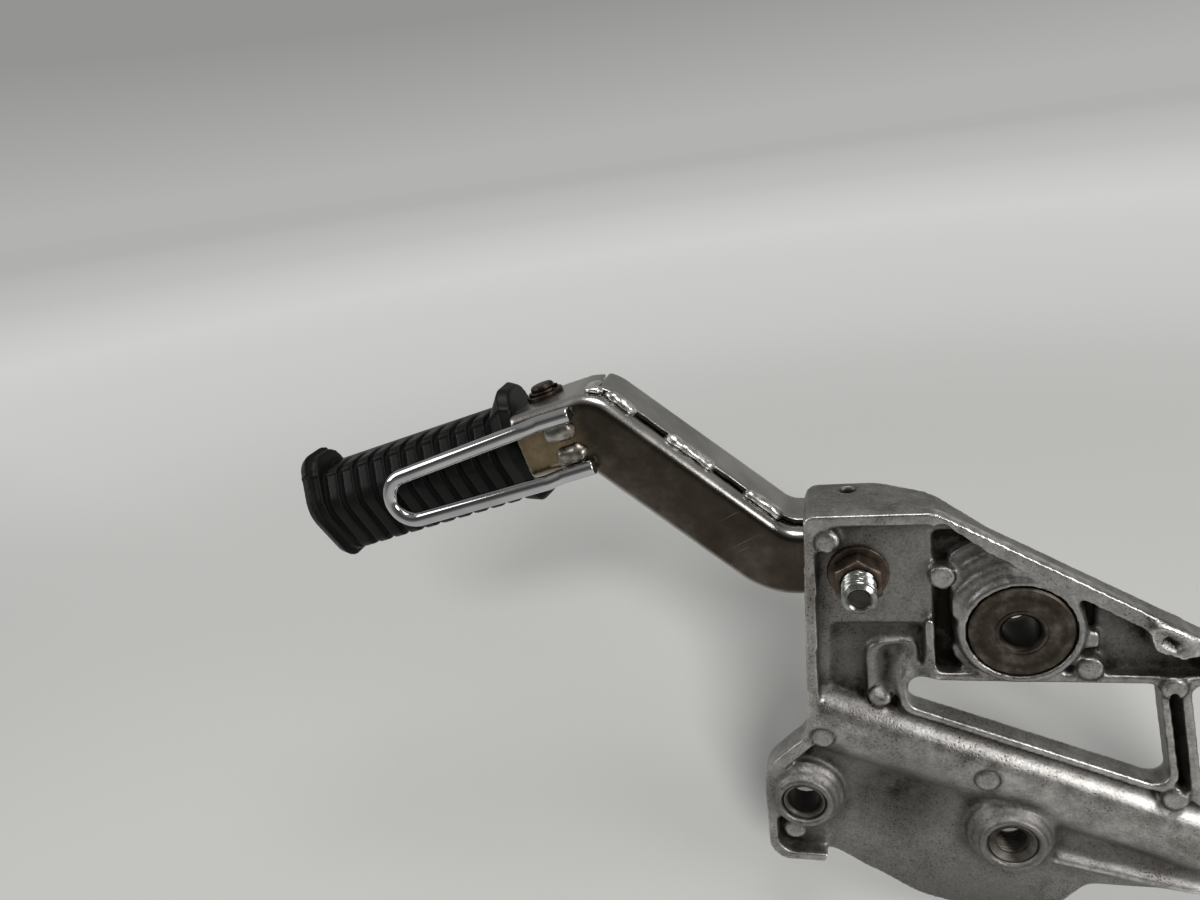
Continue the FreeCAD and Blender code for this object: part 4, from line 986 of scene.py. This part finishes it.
@dataclass
class CastPlate(SubAssembly):
    """The die-cast plate, with the rounded edges that a mould leaves."""

    voxel_mm: float = 0.8
    rounding: int = 2
    fillet_passes: int = 6
    fillet_least_mm: float = 0.03
    hollow_mm: float = 2.3
    swell_mm: float = 9.0
    swell_height_mm: float = 0.1
    swell_seed: float = 3.1
    horn_mm: tuple[float, float] = (-35.5, -13.5)
    horn_reach_mm: float = 13.0
    horn_fade: float = 3.0
    horn_passes: int = 14
    horn_ridges_mm: tuple[tuple[tuple[float, float], ...], ...] = (
        ((-42.6, -24.0), (-41.6, -9.0), (-38.6, -5.2), (-27.2, -4.0)),
        ((-27.4, -8.5), (-32.2, -12.8), (-34.3, -20.5), (-32.5, -25.6)))
    horn_width_mm: float = 2.6
    horn_back_mm: float = 12.0
    horn_hollow_mm: float = 3.8
    lug_mm: tuple[float, float] = (38.6, -3.4)
    lug_lean_deg: float = -40.0
    lug_half_mm: tuple[float, float] = (7.2, 3.6)
    lug_rim_mm: float = 0.9
    lug_rim_share: float = 0.22
    slot_half_mm: tuple[float, float] = (2.8, 0.9)
    slot_end_mm: float = 0.8
    slot_depth_mm: float = 3.0
    # a face is at the front where its normal's Y and its depth are below these
    front_facing: float = -0.5
    front_mm: float = 4.0
    rib_start_mm: tuple[float, float] = (12.1, -85.3)
    rib_end_mm: tuple[float, float] = (52.0, -94.3)
    rib_width_mm: float = 2.2
    rib_height_mm: float = 2.4
    # ejector pads: X, Z and the depth of the face
    pads_mm: tuple[tuple[float, float, float], ...] = (
        (-52.8, 29.8, 0.2), (-21.1, 17.1, 1.6), (18.6, -12.8, 0.8), (40.0, -18.4, -0.4), (-58.0, -39.0, -0.2),
        (-9.3, -51.7, -1.7), (42.9, -57.8, 0.6), (-39.9, -25.2, 2.8), (-69.3, -77.8, 1.2))
    pad_r_mm: float = 3.7
    pad_groove_mm: float = 0.5
    pad_edge_mm: float = 0.55
    pad_reach_mm: float = 1.6
    pad_facing: float = -0.4
    rail_start_mm: tuple[float, float] = (-21.6, 38.0)
    rail_end_mm: tuple[float, float] = (46.0, 0.2)
    rail_width_mm: float = 1.0
    rail_spread: float = 1.6
    rail_facing: float = 0.1
    # soiled places: X, Z, and the distances within which soil is full and beyond which there is none
    soiled_mm: tuple[tuple[float, float, float, float], ...] = (
        (-65.2, -63.0, 10.0, 16.0), (-1.9, -75.4, 12.0, 18.0), (-34.0, -60.0, 5.0, 24.0))
    soil: float = 0.55
    soil_fade: float = 0.7
    soil_facing: float = 0.3

    def build(self) -> None:
        """Make the plate's skin and dress it."""
        skin = even_skin(solid_copy("hanger_plate"), self.voxel_mm)
        fill_corners(skin, self.fillet_passes, self.fillet_least_mm)
        soften(skin, self.rounding)
        self.round_horn(skin)
        self.raise_rib(skin)
        slot = self.shape_lug(skin)
        rings = self.groove_pads(skin)
        roughen(skin, self.swell_mm, self.swell_height_mm, self.swell_seed)
        Wear(hollow_mm=self.hollow_mm).keep(skin)
        # the lug's slot and the pads' rings are stored as hollows, which the finish draws dark: painted shade
        # in the slot and the rings
        raise_values(skin, "hollow", np.maximum(slot, rings))
        self.soil_floor(skin)
        self.brighten_rail_edge(skin)
        self.place("cast_plate", skin, Slot.CAST, self.finishes.cast, "hanger_plate")

    def round_horn(self, mesh: bpy.types.Mesh) -> None:
        """Shape the rib beside the long window into two soft ridges with a hollow between.

        Args:
            mesh: Skin of the plate.
        """
        spots, edges, counts = mesh_arrays(mesh)
        flat = spots[:, (0, 2)] / MM
        away = np.hypot(flat[:, 0] - self.horn_mm[0], flat[:, 1] - self.horn_mm[1])
        share = np.clip(self.horn_fade * (1.0 - away / self.horn_reach_mm), 0.0, 1.0)
        share = share * (spots[:, 1] < self.horn_back_mm * MM)
        proud = (vertex_normals(mesh)[:, 1] < self.front_facing) & (spots[:, 1] < self.front_mm * MM)
        off_ridge = np.min([line_distance(flat, start, end) for ridge in self.horn_ridges_mm
                            for start, end in zip(ridge, ridge[1:])], axis=0)
        sink = self.horn_hollow_mm * (1.0 - np.exp(-(off_ridge / self.horn_width_mm) ** 2))
        spots[:, 1] += sink * share * proud * MM
        for _ in range(self.horn_passes):
            spots = spots + 0.5 * share[:, None] * (neighbour_mean(spots, edges, counts) - spots)
        move_vertices(mesh, spots)

    def raise_rib(self, mesh: bpy.types.Mesh) -> None:
        """Raise the low rib along the plate's foot.

        Args:
            mesh: Skin of the plate.
        """
        spots = vertex_places(mesh)
        aside = line_distance(spots[:, (0, 2)] / MM, self.rib_start_mm, self.rib_end_mm)
        forward = np.clip(-vertex_normals(mesh)[:, 1], 0.0, 1.0)
        spots[:, 1] -= self.rib_height_mm * np.exp(-(aside / self.rib_width_mm) ** 2) * forward * MM
        move_vertices(mesh, spots)

    def groove_pads(self, mesh: bpy.types.Mesh) -> np.ndarray:
        """Cut the fine ring that an ejector pin leaves round each pad.

        Args:
            mesh: Skin of the plate.

        Returns:
            How deep each vertex lies in a ring, from nought to one.
        """
        spots = vertex_places(mesh)
        forward = vertex_normals(mesh)[:, 1] < self.pad_facing
        depth = np.zeros(len(spots))
        for x, z, front in self.pads_mm:
            away = np.hypot(spots[:, 0] / MM - x, spots[:, 2] / MM - z)
            level = np.abs(spots[:, 1] / MM - front) < self.pad_reach_mm
            ring = np.exp(-((away - self.pad_r_mm) / self.pad_edge_mm) ** 2)
            depth = np.maximum(depth, ring * (level & forward))
        spots[:, 1] += depth * self.pad_groove_mm * MM
        move_vertices(mesh, spots)
        return depth

    def shape_lug(self, mesh: bpy.types.Mesh) -> np.ndarray:
        """Raise a rim round the lug under the rail and sink its slot.

        Args:
            mesh: Skin of the plate.

        Returns:
            How deep each vertex lies in the slot, from nought to one.
        """
        spots = vertex_places(mesh)
        forward = (vertex_normals(mesh)[:, 1] < self.front_facing) & (spots[:, 1] < self.front_mm * MM)
        lean = math.radians(self.lug_lean_deg)
        across = spots[:, 0] / MM - self.lug_mm[0]
        height = spots[:, 2] / MM - self.lug_mm[1]
        along = across * math.cos(lean) + height * math.sin(lean)
        aside = height * math.cos(lean) - across * math.sin(lean)
        ring = np.hypot(along / self.lug_half_mm[0], aside / self.lug_half_mm[1])
        rim = self.lug_rim_mm * np.exp(-((ring - 1.0) / self.lug_rim_share) ** 2)
        ends = np.clip((self.slot_half_mm[0] - np.abs(along)) / self.slot_end_mm, 0.0, 1.0)
        slot = ends * np.exp(-(aside / self.slot_half_mm[1]) ** 2) * forward
        spots[:, 1] -= (rim * forward - self.slot_depth_mm * slot) * MM
        move_vertices(mesh, spots)
        return slot

    def soil_floor(self, mesh: bpy.types.Mesh) -> None:
        """Mark the lower bosses and the floor between them as soiled, their edges less rubbed.

        Args:
            mesh: Skin of the plate.
        """
        spots = vertex_places(mesh)
        share = np.zeros(len(spots))
        for x, z, near, far in self.soiled_mm:
            away = np.hypot(spots[:, 0] / MM - x, spots[:, 2] / MM - z)
            share = np.maximum(share, np.clip((far - away) / (far - near), 0.0, 1.0))
        share = share * (vertex_normals(mesh)[:, 1] < self.soil_facing)
        raise_values(mesh, "hollow", self.soil * share)
        fade_values(mesh, "worn", self.soil_fade * share)

    def brighten_rail_edge(self, mesh: bpy.types.Mesh) -> None:
        """Mark the front edge of the sloping rail as rubbed bright, partly a painted highlight along the
        edge.

        Args:
            mesh: Skin of the plate.
        """
        spots = vertex_places(mesh)
        aside = line_distance(spots[:, (0, 2)] / MM, self.rail_start_mm, self.rail_end_mm)
        near = np.clip(self.rail_spread - aside / self.rail_width_mm, 0.0, 1.0)
        near = near * (vertex_normals(mesh)[:, 1] < self.rail_facing) * (spots[:, 1] < self.front_mm * MM)
        # stored as worn, which the finish draws near white: partly a painted highlight along the rail's edge
        raise_values(mesh, "worn", near)


@dataclass
class MainBush(SubAssembly):
    """Steel sleeve with its face disc, the rubber round it and the washer behind."""

    bore_r: float = 5.2
    mouth_r: float = 6.1
    mouth_depth: float = 1.0
    mouth_edge: float = 0.1
    groove_r: float = 7.15
    groove_half: float = 0.25
    groove_depth: float = 0.16
    rim_edge: float = 0.6
    rim_drop: float = 0.5
    disc_r: float = 14.4
    disc_depth: float = 3.0
    sleeve_r: float = 7.6
    sleeve_depth: float = 15.0

    def build(self) -> None:
        """Turn the sleeve and dress the rest."""
        # the third number of each point darkens the skin there: dirt, and painted shade in the bore and the
        # groove
        form = TurnedForm("bush_sleeve_turned", (
            (self.sleeve_depth, self.bore_r, 1.0), (self.mouth_depth, self.bore_r, 1.0),
            (self.mouth_edge / 2, self.mouth_r, 0.5), (0.0, self.mouth_r + self.mouth_edge, 0.0),
            (0.0, self.groove_r - self.groove_half, 0.0), (self.groove_depth, self.groove_r, 0.7),
            (0.0, self.groove_r + self.groove_half, 0.0), (0.0, self.disc_r - self.rim_edge, 0.0),
            (self.rim_drop, self.disc_r, 0.3), (self.disc_depth, self.disc_r, 1.0),
            (self.disc_depth, self.sleeve_r, 1.0), (self.sleeve_depth, self.sleeve_r, 0.4),
            (self.sleeve_depth, self.bore_r, 1.0)))
        sleeve = form.mesh(axis_of("bush_sleeve"))
        self.place("bush_sleeve_turned", sleeve, Slot.TURNED, self.finishes.turned, "bush_sleeve")
        self.dress("bush_rubber", self.finishes.rubber)
        self.dress("bush_end_washer", self.finishes.turned)


@dataclass
class BossSleeves(SubAssembly):
    """Dowel sleeve and threaded insert of the two lower bosses."""

    dowel_r: float = 7.15
    dowel_bore_r: float = 5.15
    dowel_front: float = -1.5
    insert_r: float = 7.35
    insert_bore_r: float = 5.4
    insert_front: float = -1.6
    insert_mouth: float = 1.5
    back: float = 9.5
    dowel_chamfer: float = 0.8
    dowel_edge: float = 0.6
    insert_edge: float = 0.35
    pitch: float = 1.25
    thread_depth: float = 0.7
    thread_end: float = 0.2

    def build(self) -> None:
        """Turn both sleeves."""
        # the third number of each point darkens the skin there: dirt, and painted shade in the bore
        dowel = TurnedForm("dowel_sleeve_turned", (
            (self.back, self.dowel_bore_r, 1.0),
            (self.dowel_front + self.dowel_chamfer, self.dowel_bore_r, 0.9),
            (self.dowel_front, self.dowel_bore_r + self.dowel_chamfer, 0.4),
            (self.dowel_front, self.dowel_r - self.dowel_edge, 0.0),
            (self.dowel_front + self.dowel_edge, self.dowel_r, 0.0), (self.back, self.dowel_r, 0.6),
            (self.back, self.dowel_bore_r, 1.0))).mesh(axis_of("dowel_sleeve"))
        self.place("dowel_sleeve_turned", dowel, Slot.TURNED, self.finishes.dull_steel, "dowel_sleeve")
        lip = self.insert_front + self.insert_mouth
        crest = self.insert_bore_r - self.thread_depth / 2
        thread = Thread(self.pitch, self.thread_depth, crest, lip, self.back - self.thread_end)
        # the third number of each point darkens the skin there: dirt, and painted shade in the bore and the
        # thread
        insert = TurnedForm("thread_insert_cut", (
            (self.back, crest, 0.7), (lip, crest, 0.4),
            (self.insert_front, self.insert_bore_r + self.insert_mouth, 0.2),
            (self.insert_front + self.insert_edge, self.insert_r, 0.0), (self.back, self.insert_r, 0.6),
            (self.back, crest, 0.7)), thread).mesh(axis_of("thread_insert"))
        self.place("thread_insert_cut", insert, Slot.OXIDE, self.finishes.dull_steel, "thread_insert")


@dataclass
class MountingBolt(SubAssembly):
    """Bolt that holds the arm to the plate, with its nut, washers and spacer."""

    stud_r: float = 4.98
    tip: float = -12.0
    thread_end: float = 3.3
    pitch: float = 1.25
    thread_depth: float = -0.72
    thread_start: float = 0.6
    chamfer: float = 0.9
    tip_r: float = 3.8
    dish_r: float = 3.5
    dish_floor_r: float = 2.8
    dish_step: float = 0.6
    dish_depth: float = 0.9
    voxel_mm: float = 0.35
    rounding: int = 2

    def build(self) -> None:
        """Cut the stud's thread, skin the hardware and dress the spacer."""
        wear = Wear(edge_mm=0.3, hollow_mm=1.4)
        begin = self.tip + self.thread_start
        thread = Thread(self.pitch, self.thread_depth, self.stud_r, begin, self.thread_end)
        # the third number of each point darkens the skin there: dirt, and painted shade in the dish of the
        # tip
        stud = TurnedForm("stud", (
            (self.tip + self.dish_depth, 0.0, 0.9), (self.tip + self.dish_step, self.dish_floor_r, 0.9),
            (self.tip, self.dish_r, 0.5), (self.tip, self.tip_r, 0.1),
            (self.tip + self.chamfer, self.stud_r, 0.0), (self.thread_end, self.stud_r, 0.0),
            (self.thread_end, 0.0, 0.0)), thread)
        head = even_skin(beyond_level(solid_copy("mounting_bolt"), self.thread_end), self.voxel_mm)
        soften(head, self.rounding)
        wear.keep(head)
        bolt = joined("mounting_bolt_threaded", (head, stud.mesh(axis_of("mounting_bolt"))))
        self.place("mounting_bolt_threaded", bolt, Slot.ZINC, self.finishes.zinc, "mounting_bolt")
        for node, slot, finish in (("mounting_nut", Slot.OXIDE, self.finishes.oxide),
                                   ("nut_washer", Slot.OXIDE, self.finishes.oxide),
                                   ("bolt_washer", Slot.ZINC, self.finishes.zinc)):
            skin = self.skin(node, self.voxel_mm, self.rounding, wear)
            self.place(node + "_worn", skin, slot, finish, node)
        self.dress("spacer_tube", self.finishes.zinc)


@dataclass
class BoxArm(SubAssembly):
    """Two pressed channels and the row of weld beads that joins them."""

    sheet_voxel_mm: float = 0.7
    bead_voxel_mm: float = 0.35
    bead_swell_mm: float = 1.2
    ripple_mm: float = 3.0
    ripple_height_mm: float = 0.5
    rounding: int = 2
    bead_rounding: int = 8
    ripple_rounding: int = 2
    seed: float = 5.3

    def build(self) -> None:
        """Skin the channels and the beads."""
        wear = Wear(edge_mm=0.9, hollow_mm=1.8)
        for node in ("front_channel", "rear_channel"):
            skin = self.skin(node, self.sheet_voxel_mm, self.rounding, wear)
            self.place(node + "_pressed", skin, Slot.ARM, self.finishes.sheet, node)
        self.beads("seam_welds", "seam_beads", self.finishes.weld)

    def beads(self, node: str, name: str, finish: bpy.types.Material) -> None:
        """Skin a solid as a rippled weld bead.

        Args:
            node: The solid.
            name: Name of the piece.
            finish: Its material.
        """
        skin = even_skin(solid_copy(node), self.bead_voxel_mm)
        swell(skin, self.bead_swell_mm)
        soften(skin, self.bead_rounding)
        roughen(skin, self.ripple_mm, self.ripple_height_mm, self.seed)
        soften(skin, self.ripple_rounding)
        Wear(hollow_mm=0.9).keep(skin)
        self.place(name, skin, Slot.WELD, finish, node)


@dataclass
class GuardLoop(BoxArm):
    """Chromed wire loop beside the peg and the welds that hold its ends."""

    wire_voxel_mm: float = 0.4
    bead_swell_mm: float = 0.3
    ripple_height_mm: float = 0.35
    rounding: int = 3
    seed: float = 9.7

    def build(self) -> None:
        """Skin the wire and its welds."""
        skin = self.skin("guard_loop", self.wire_voxel_mm, self.rounding, Wear(hollow_mm=1.2))
        self.place("guard_loop_wire", skin, Slot.CHROME, self.finishes.chrome, "guard_loop")
        self.beads("loop_welds", "loop_beads", self.finishes.dull_weld)


@dataclass
class PegPivot(SubAssembly):
    """Pin of the folding peg with its clip and washers."""

    voxel_mm: float = 0.3
    rounding: int = 2

    def build(self) -> None:
        """Skin the pin and its clip and dress the washers."""
        wear = Wear(edge_mm=0.3, hollow_mm=1.4)
        for node in ("pivot_pin", "pin_clip", "pin_washer"):
            skin = self.skin(node, self.voxel_mm, self.rounding, wear)
            self.place(node + "_worn", skin, Slot.OXIDE, self.finishes.dark_oxide, node)
        self.dress("wave_washer", self.finishes.zinc)
        self.dress("lower_washer", self.finishes.zinc)


@dataclass
class FoldingPeg(SubAssembly):
    """Rubber and steel core of the peg."""

    body: Body = Body.PEG
    voxel_mm: float = 0.5
    rounding: int = 2
    # place of the mould line off the peg's axis, across and up
    seam_mm: tuple[float, float] = (-8.6, 11.0)
    seam_width_mm: float = 0.5
    seam_height_mm: float = 0.45

    def build(self) -> None:
        """Make the rubber's skin and dress the core."""
        skin = self.skin("peg_rubber", self.voxel_mm, self.rounding, Wear(hollow_passes=40, hollow_mm=0.4))
        self.raise_seam(skin)
        self.place("ribbed_rubber", skin, Slot.RUBBER, self.finishes.rubber, "peg_rubber")
        self.dress("peg_core", self.finishes.oxide)

    def raise_seam(self, mesh: bpy.types.Mesh) -> None:
        """Raise the thin line that the halves of the mould leave along the rubber's front upper edge.

        Args:
            mesh: Skin of the rubber.
        """
        hinge = frame["record"]["behaviour"]["joints"][0]
        spots = vertex_places(mesh)
        offset = (spots - hinge["pos_m"]) / MM
        aside = offset[:, 1]
        height = -offset @ np.array(hinge["axis"])
        out_aside, out_height = np.array(self.seam_mm) / np.hypot(*self.seam_mm)
        off_line = aside * out_height - height * out_aside
        normals = vertex_normals(mesh)
        facing = normals[:, 1] * out_aside - normals @ np.array(hinge["axis"]) * out_height
        outward = np.clip(facing, 0.0, 1.0) * (aside * out_aside + height * out_height > 0.0)
        lift = self.seam_height_mm * np.exp(-(off_line / self.seam_width_mm) ** 2) * outward
        spots = spots + normals * (lift * MM)[:, None]
        move_vertices(mesh, spots)


@dataclass(frozen=True)
class Lamp:
    """A soft square lamp: its place, aim and size in metres and its power in watts."""

    name: str
    spot: tuple[float, float, float]
    aim: tuple[float, float, float]
    size: float
    power: float


@dataclass
class Studio:
    """Pale floor, soft lights and the camera, in metres."""

    floor_size: float = 16.0
    floor_gap_mm: float = 0.5
    floor_rough: float = 0.6
    glow: float = 1.4
    fade_near: float = 0.32
    fade_far: float = 1.0
    ramp_reach: float = 6.0
    sun_from: tuple[float, float, float] = (0.5, -1.9, 1.0)
    sun_spread_deg: float = 18.0
    sun_strength: float = 8.8
    lamps: tuple[Lamp, ...] = (
        Lamp("overhead", (0.1, -0.1, 0.95), (0.0, 0.05, 0.0), 0.5, 5.0),
        Lamp("right_key", (0.8, -0.55, 0.4), (0.0, 0.0, -0.03), 0.5, 6.0),
        Lamp("left_window", (-0.9, -0.2, 0.45), (-0.05, 0.0, 0.0), 0.5, 3.0))
    focal_px: float = 902.0
    frame_px: float = 1200.0
    sensor_mm: float = 36.0
    clip_near: float = 0.005
    clip_far: float = 50.0
    camera_at: tuple[float, float, float] = (-0.0449, -0.245, 0.1510)
    camera_right: tuple[float, float, float] = (0.9624, 0.2328, -0.1400)
    camera_up: tuple[float, float, float] = (0.0509, 0.3518, 0.9347)
    camera_back: tuple[float, float, float] = (0.2668, -0.9067, 0.3267)

    def build(self) -> None:
        """Set up the stage."""
        low, _ = CAD_BOX
        mesh = bpy.data.meshes.new("floor")
        half = self.floor_size / 2
        level = low.z - self.floor_gap_mm * MM
        corners = [(-half, -half), (half, -half), (half, half), (-half, half)]
        mesh.from_pydata([(x, y, level) for x, y in corners], [], [(0, 1, 2, 3)])
        floor = bpy.data.objects.new("floor", mesh)
        bpy.context.scene.collection.objects.link(floor)
        coat(floor, self.floor_finish())
        self.set_world()
        self.light_up()
        self.set_camera()

    def sky_colour(self, tree: bpy.types.NodeTree, way: bpy.types.NodeSocket) -> bpy.types.NodeSocket:
        """Colour of the soft surroundings: pale behind the part, darker before it and higher up.

        Args:
            tree: Node tree that takes the nodes.
            way: Direction from the part, of length one.

        Returns:
            The colour socket.
        """
        parts = add_node(tree, "ShaderNodeSeparateXYZ", {}, {"Vector": way})
        behind = add_node(tree, "ShaderNodeValToRGB", {"stops": [(0.0, "#b2b2b0"), (0.13, "#949492"),
                          (0.4, "#949492"), (0.75, "#949492"), (1.0, "#a0a09e")]},
                          {"Fac": parts.outputs["Z"]}).outputs["Color"]
        before = add_node(tree, "ShaderNodeValToRGB", {"stops": [(0.0, "#646462"), (0.35, "#454543"),
                          (1.0, "#a0a09e")]}, {"Fac": parts.outputs["Z"]}).outputs["Color"]
        side = add_node(tree, "ShaderNodeMapRange", {"From Min": -0.7, "From Max": 0.5},
                        {"Value": parts.outputs["Y"]}).outputs["Result"]
        return add_node(tree, "ShaderNodeMix", {"data_type": "RGBA"},
                        {MIX_SHARE: side, MIX_COLOUR_A: before, MIX_COLOUR_B: behind}).outputs[MIX_COLOUR_OUT]

    def floor_finish(self) -> bpy.types.Material:
        """Matt pale grey paper that melts into the surroundings far from the part.

        Returns:
            The material.
        """
        material, tree, shader = new_material("floor_pale_grey")
        shader.inputs["Base Color"].default_value = linear("#888886")
        shader.inputs["Roughness"].default_value = self.floor_rough
        place = add_node(tree, "ShaderNodeTexCoord", {}, {}).outputs["Object"]
        away = add_node(tree, "ShaderNodeVectorMath", {"operation": "LENGTH"}, {0: place}).outputs["Value"]
        way = add_node(tree, "ShaderNodeVectorMath", {"operation": "NORMALIZE"}, {0: place}).outputs["Vector"]
        far = add_node(tree, "ShaderNodeMapRange", {"interpolation_type": "SMOOTHSTEP",
                       "From Min": self.fade_near, "From Max": self.fade_far},
                       {"Value": away}).outputs["Result"]
        share = add_node(tree, "ShaderNodeMath", {"operation": "DIVIDE", 1: self.ramp_reach},
                         {0: away}).outputs[0]
        lift = add_node(tree, "ShaderNodeValToRGB", {"stops": [(0.1, "#f0f0f0"), (0.32, "#ffffff"),
                        (0.55, "#eaeaea"), (1.0, "#dadada")]}, {"Fac": share}).outputs["Color"]
        sky = self.sky_colour(tree, way)
        lifted = add_node(tree, "ShaderNodeMix", {"data_type": "RGBA", "blend_type": "MULTIPLY",
                          MIX_SHARE: 1.0}, {MIX_COLOUR_A: sky, MIX_COLOUR_B: lift}).outputs[MIX_COLOUR_OUT]
        glow = add_node(tree, "ShaderNodeEmission", {"Strength": self.glow},
                        {"Color": lifted}).outputs["Emission"]
        blend = add_node(tree, "ShaderNodeMixShader", {}, {0: far, 1: shader.outputs["BSDF"], 2: glow})
        tree.links.new(blend.outputs["Shader"], tree.nodes["Material Output"].inputs["Surface"])
        return material

    def set_world(self) -> None:
        """Surround the part with the soft gradient."""
        world = bpy.data.worlds.new("studio")
        bpy.context.scene.world = world
        world.use_nodes = True
        tree = world.node_tree
        way = add_node(tree, "ShaderNodeTexCoord", {}, {}).outputs["Generated"]
        tree.links.new(self.sky_colour(tree, way), tree.nodes["Background"].inputs["Color"])

    def light_up(self) -> None:
        """Hang the lamps."""
        for lamp in self.lamps:
            data = bpy.data.lights.new(lamp.name, "AREA")
            data.size = lamp.size
            data.energy = lamp.power
            self.hang(data, Vector(lamp.spot), Vector(lamp.aim))
        sun = bpy.data.lights.new("floor_key", "SUN")
        sun.angle = math.radians(self.sun_spread_deg)
        sun.energy = self.sun_strength
        # soft light for the paper and its shadows, kept out of the metal's reflections
        self.hang(sun, Vector(self.sun_from), Vector()).visible_glossy = False

    def hang(self, data: bpy.types.Light, spot: Vector, aim: Vector) -> bpy.types.Object:
        """Put a lamp in its place and turn it to its aim.

        Args:
            data: The lamp.
            spot: Where it hangs, in metres.
            aim: Where it points, in metres.

        Returns:
            The lamp's object.
        """
        lamp = bpy.data.objects.new(data.name, data)
        bpy.context.scene.collection.objects.link(lamp)
        lamp.location = spot
        lamp.rotation_mode = "QUATERNION"
        lamp.rotation_quaternion = (aim - spot).to_track_quat("-Z", "Y")
        return lamp

    def set_camera(self) -> None:
        """Place the camera at the photograph's viewpoint."""
        data = bpy.data.cameras.new("camera")
        data.sensor_fit = "HORIZONTAL"
        data.sensor_width = self.sensor_mm
        data.lens = self.focal_px / self.frame_px * data.sensor_width
        data.clip_start = self.clip_near
        data.clip_end = self.clip_far
        camera = bpy.data.objects.new("camera", data)
        bpy.context.scene.collection.objects.link(camera)
        turn = Matrix((self.camera_right, self.camera_up, self.camera_back)).transposed().to_4x4()
        turn.translation = Vector(self.camera_at)
        camera.matrix_world = turn
        bpy.context.scene.camera = camera


def main() -> None:
    """Build and dress the part, then set the stage."""
    logging.basicConfig(level=logging.INFO)
    bpy.context.scene.view_settings.view_transform = "Standard"
    finishes = Finishes()
    for group in (CastPlate, MainBush, BossSleeves, MountingBolt, BoxArm, GuardLoop, PegPivot, FoldingPeg):
        group(finishes).build()
    Studio().build()


if __name__ == "__main__":
    main()
